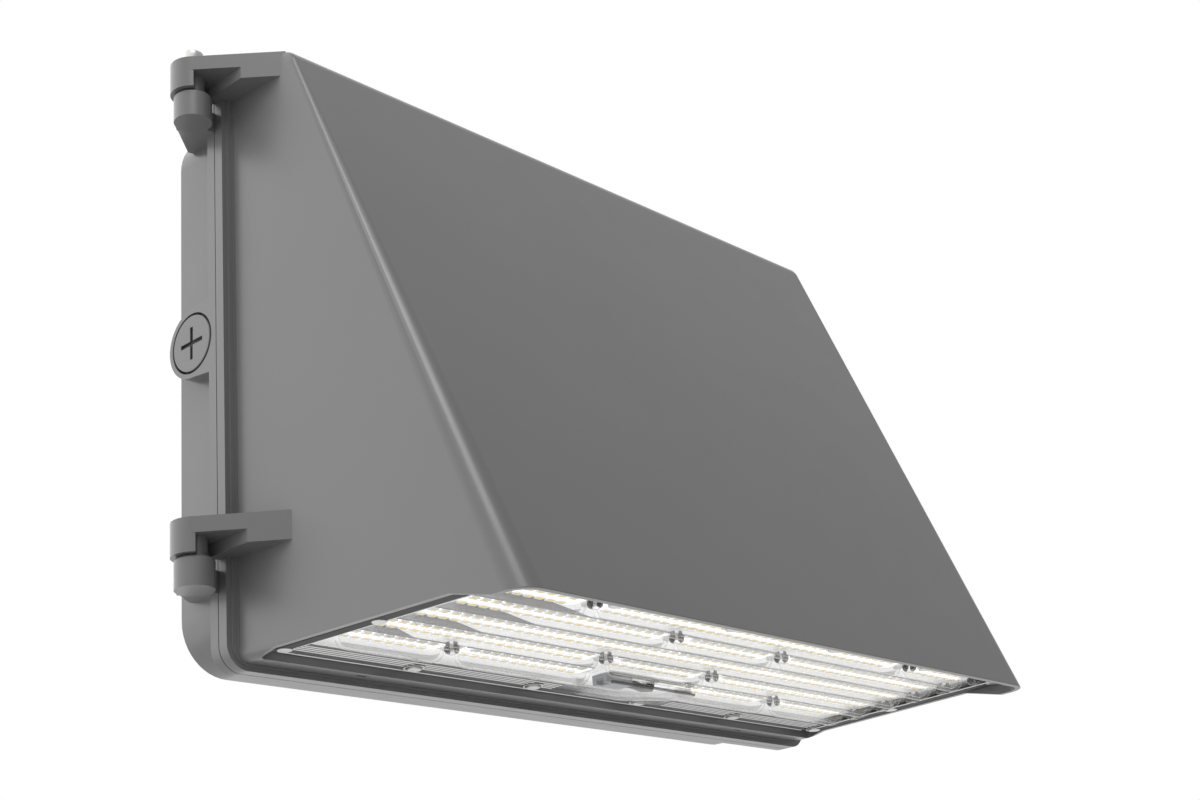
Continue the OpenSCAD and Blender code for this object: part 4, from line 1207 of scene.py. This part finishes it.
# %% [markdown]
# The light sources are small white packages with a yellow phosphor window, soldered in two lines to a row.
# One is modelled from a block: its lower face is inset for the window and pushed in a little. Arrays then
# repeat it along each stretch of a row, which costs only a few faces for each of the hundreds of copies.

# %% Light sources
CHIP_L = 3.6 * MM
CHIP_W = 2.4 * MM
CHIP_T = 0.65 * MM
CHIP_RIM = 0.35 * MM
CHIP_DISH = 0.1 * MM
CHIP_PITCH = 5.3 * MM
LINE_GAP = 6.0 * MM
LINE_SHIFT = -0.2 * MM
DOWNWARD = -0.5


def faces_down(middle, face):
    return face.normal.z < DOWNWARD


def add_chip(x, y):
    """One light source, with its back on the strip."""
    back = BOARD_FACE - STRIP_T
    low = (x - CHIP_L / 2, y - CHIP_W / 2, back - CHIP_T)
    chip = add_block("chip", low, (x + CHIP_L / 2, y + CHIP_W / 2, back))
    for slot in ("white_plastic", "led_chips"):
        chip.data.materials.append(FINISHES[slot])
    edit(chip)
    choose(chip, "faces", faces_down)
    bpy.ops.mesh.inset(thickness=CHIP_RIM)
    chip.active_material_index = 1
    bpy.ops.object.material_slot_assign()
    bpy.ops.transform.translate(value=(0, 0, CHIP_DISH))
    bpy.ops.object.mode_set(mode="OBJECT")
    return chip


print("chip", CHIP_L, "by", CHIP_W, "by", CHIP_T, "m")


# %% Runs of light sources
def add_chip_run(x0, x1, y):
    """Two lines of light sources between two places."""
    count = int((x1 - x0 - CHIP_L) / CHIP_PITCH) + 1
    first = (x0 + x1) / 2 - (count - 1) * CHIP_PITCH / 2
    chip = add_chip(first, y + LINE_SHIFT - LINE_GAP / 2)
    for number, step in ((count, (CHIP_PITCH, 0, 0)), (2, (0, LINE_GAP, 0))):
        array = chip.modifiers.new("repeat", "ARRAY")
        array.count = number
        array.use_relative_offset = False
        array.use_constant_offset = True
        array.constant_offset_displace = step
    apply_modifiers(chip)
    return chip


print("one light source every", CHIP_PITCH, "m")

# %% [markdown]
# The white board carries the rows. The working board is narrower and ends ahead of the lens's back screws,
# while the white under the real lens goes on nearly to its edges. So this one is made to the lens: a block
# narrowed to the front, with round corners and an inset rim. A plane would do for the face, but its edge
# shows through the clear lens.

# %% White board
BOARD_BACK_Y = -51.5 * MM
BOARD_T = 1.6 * MM
BOARD_SIDE_IN = 5.0 * MM
BOARD_CORNER = 3 * MM
BOARD_CORNER_STEPS = 5
BOARD_RIM = 0.3 * MM


def add_board():
    low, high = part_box("led_board")
    back_half = side_half(BOARD_BACK_Y) - BOARD_SIDE_IN
    front_half = side_half(low.y) - BOARD_SIDE_IN
    board = add_block("light_board", (-back_half, low.y, BOARD_FACE),
                      (back_half, BOARD_BACK_Y, BOARD_FACE + BOARD_T))
    edit(board)
    choose(board, "verts", lambda c, v: c.y < (low.y + high.y) / 2)
    bpy.ops.transform.resize(value=(front_half / back_half, 1, 1), center_override=(0, 0, 0))
    choose(board, "edges", lambda c, e: abs(e.verts[0].co.z - e.verts[1].co.z) > BOARD_T / 2)
    bpy.ops.mesh.bevel(offset=BOARD_CORNER, segments=BOARD_CORNER_STEPS, affect="EDGES")
    choose(board, "faces", faces_down)
    bpy.ops.mesh.inset(thickness=BOARD_RIM)
    bpy.ops.object.mode_set(mode="OBJECT")
    return fit_piece(board, "door", "white_board", "led_board")


add_board()

# %% [markdown]
# Beside the left rim, a grey leaf of painted shade lies in the gap ahead of each row: full depth at the rim,
# then narrowing to a point. A triangle alone would miss the straight part, so a thin block is cut once
# across, and the front verts beyond the cut are moved back.

# %% Grey leaves of painted shade beside the left rim
LEAF_LENGTHS = [70 * MM, 62 * MM, 55 * MM, 48 * MM, 34 * MM]
LEAF_RIM_ROOM = 3 * MM
LEAF_START = 3.6 * MM
LEAF_END = 12.6 * MM
LEAF_FULL_SHARE = 0.45
LEAF_TIP_SHARE = 0.97
LEAF_T = 0.15 * MM
ROW_PITCH = ROW_LINES[1][0] - ROW_LINES[0][0]


def add_leaf(k):
    """A thin grey sheet of painted shade in front of row k, between two distances behind the row before it.
    """
    y, reach = ROW_LINES[k]
    left, length = -reach - LEAF_RIM_ROOM, LEAF_LENGTHS[k]
    front, back = y - ROW_PITCH + LEAF_START, y - ROW_PITCH + LEAF_END
    leaf = add_block("leaf", (left, front, BOARD_FACE - LEAF_T), (left + length, back, BOARD_FACE))
    edit(leaf)
    choose(leaf, "edges", lambda c, e: abs(e.verts[0].co.x - e.verts[1].co.x) > length / 2)
    bpy.ops.mesh.subdivide(number_cuts=1)
    choose(leaf, "verts", lambda c, v: abs(c.x - left - length / 2) < LEAF_T and c.y < back - LEAF_T)
    bpy.ops.transform.translate(value=(length * (LEAF_FULL_SHARE - 1 / 2), 0, 0))
    choose(leaf, "verts", lambda c, v: c.x > left + length - LEAF_T and c.y < back - LEAF_T)
    bpy.ops.transform.translate(value=(0, (back - front) * LEAF_TIP_SHARE, 0))
    bpy.ops.object.mode_set(mode="OBJECT")
    leaf.data.materials.append(PAINTED_SHADE_GREY)
    return leaf


leaves = join([add_leaf(k) for k in range(len(ROWS))], "grey_leaves")
hang(leaves, "door", "white_board")

# %% [markdown]
# Each row is now put together from its stretches, and takes the place of the working row in the frame. One
# piece for all five would be simpler, but the frame holds them as five, so each stays a piece of its own.
# The outermost light sources run on a little past the ends of the ribs.

# %% Rows
CHIP_END_ROOM = 3.0 * MM
CHIP_OVERRUN = 4.0 * MM


def add_row(k):
    y, reach = ROW_LINES[k]
    runs = []
    for x0, x1 in row_stops(k):
        left = x0 - CHIP_OVERRUN if x0 == -reach else x0 + CHIP_END_ROOM
        right = x1 + CHIP_OVERRUN if x1 == reach else x1 - CHIP_END_ROOM
        runs += [add_chip_run(left, right, y), add_strip(min(x0, left), max(x1, right), y)]
    hang(join(runs, f"light_sources_{k + 1}"), "door", "led_chips", ROWS[k])


for k in range(len(ROWS)):
    add_row(k)
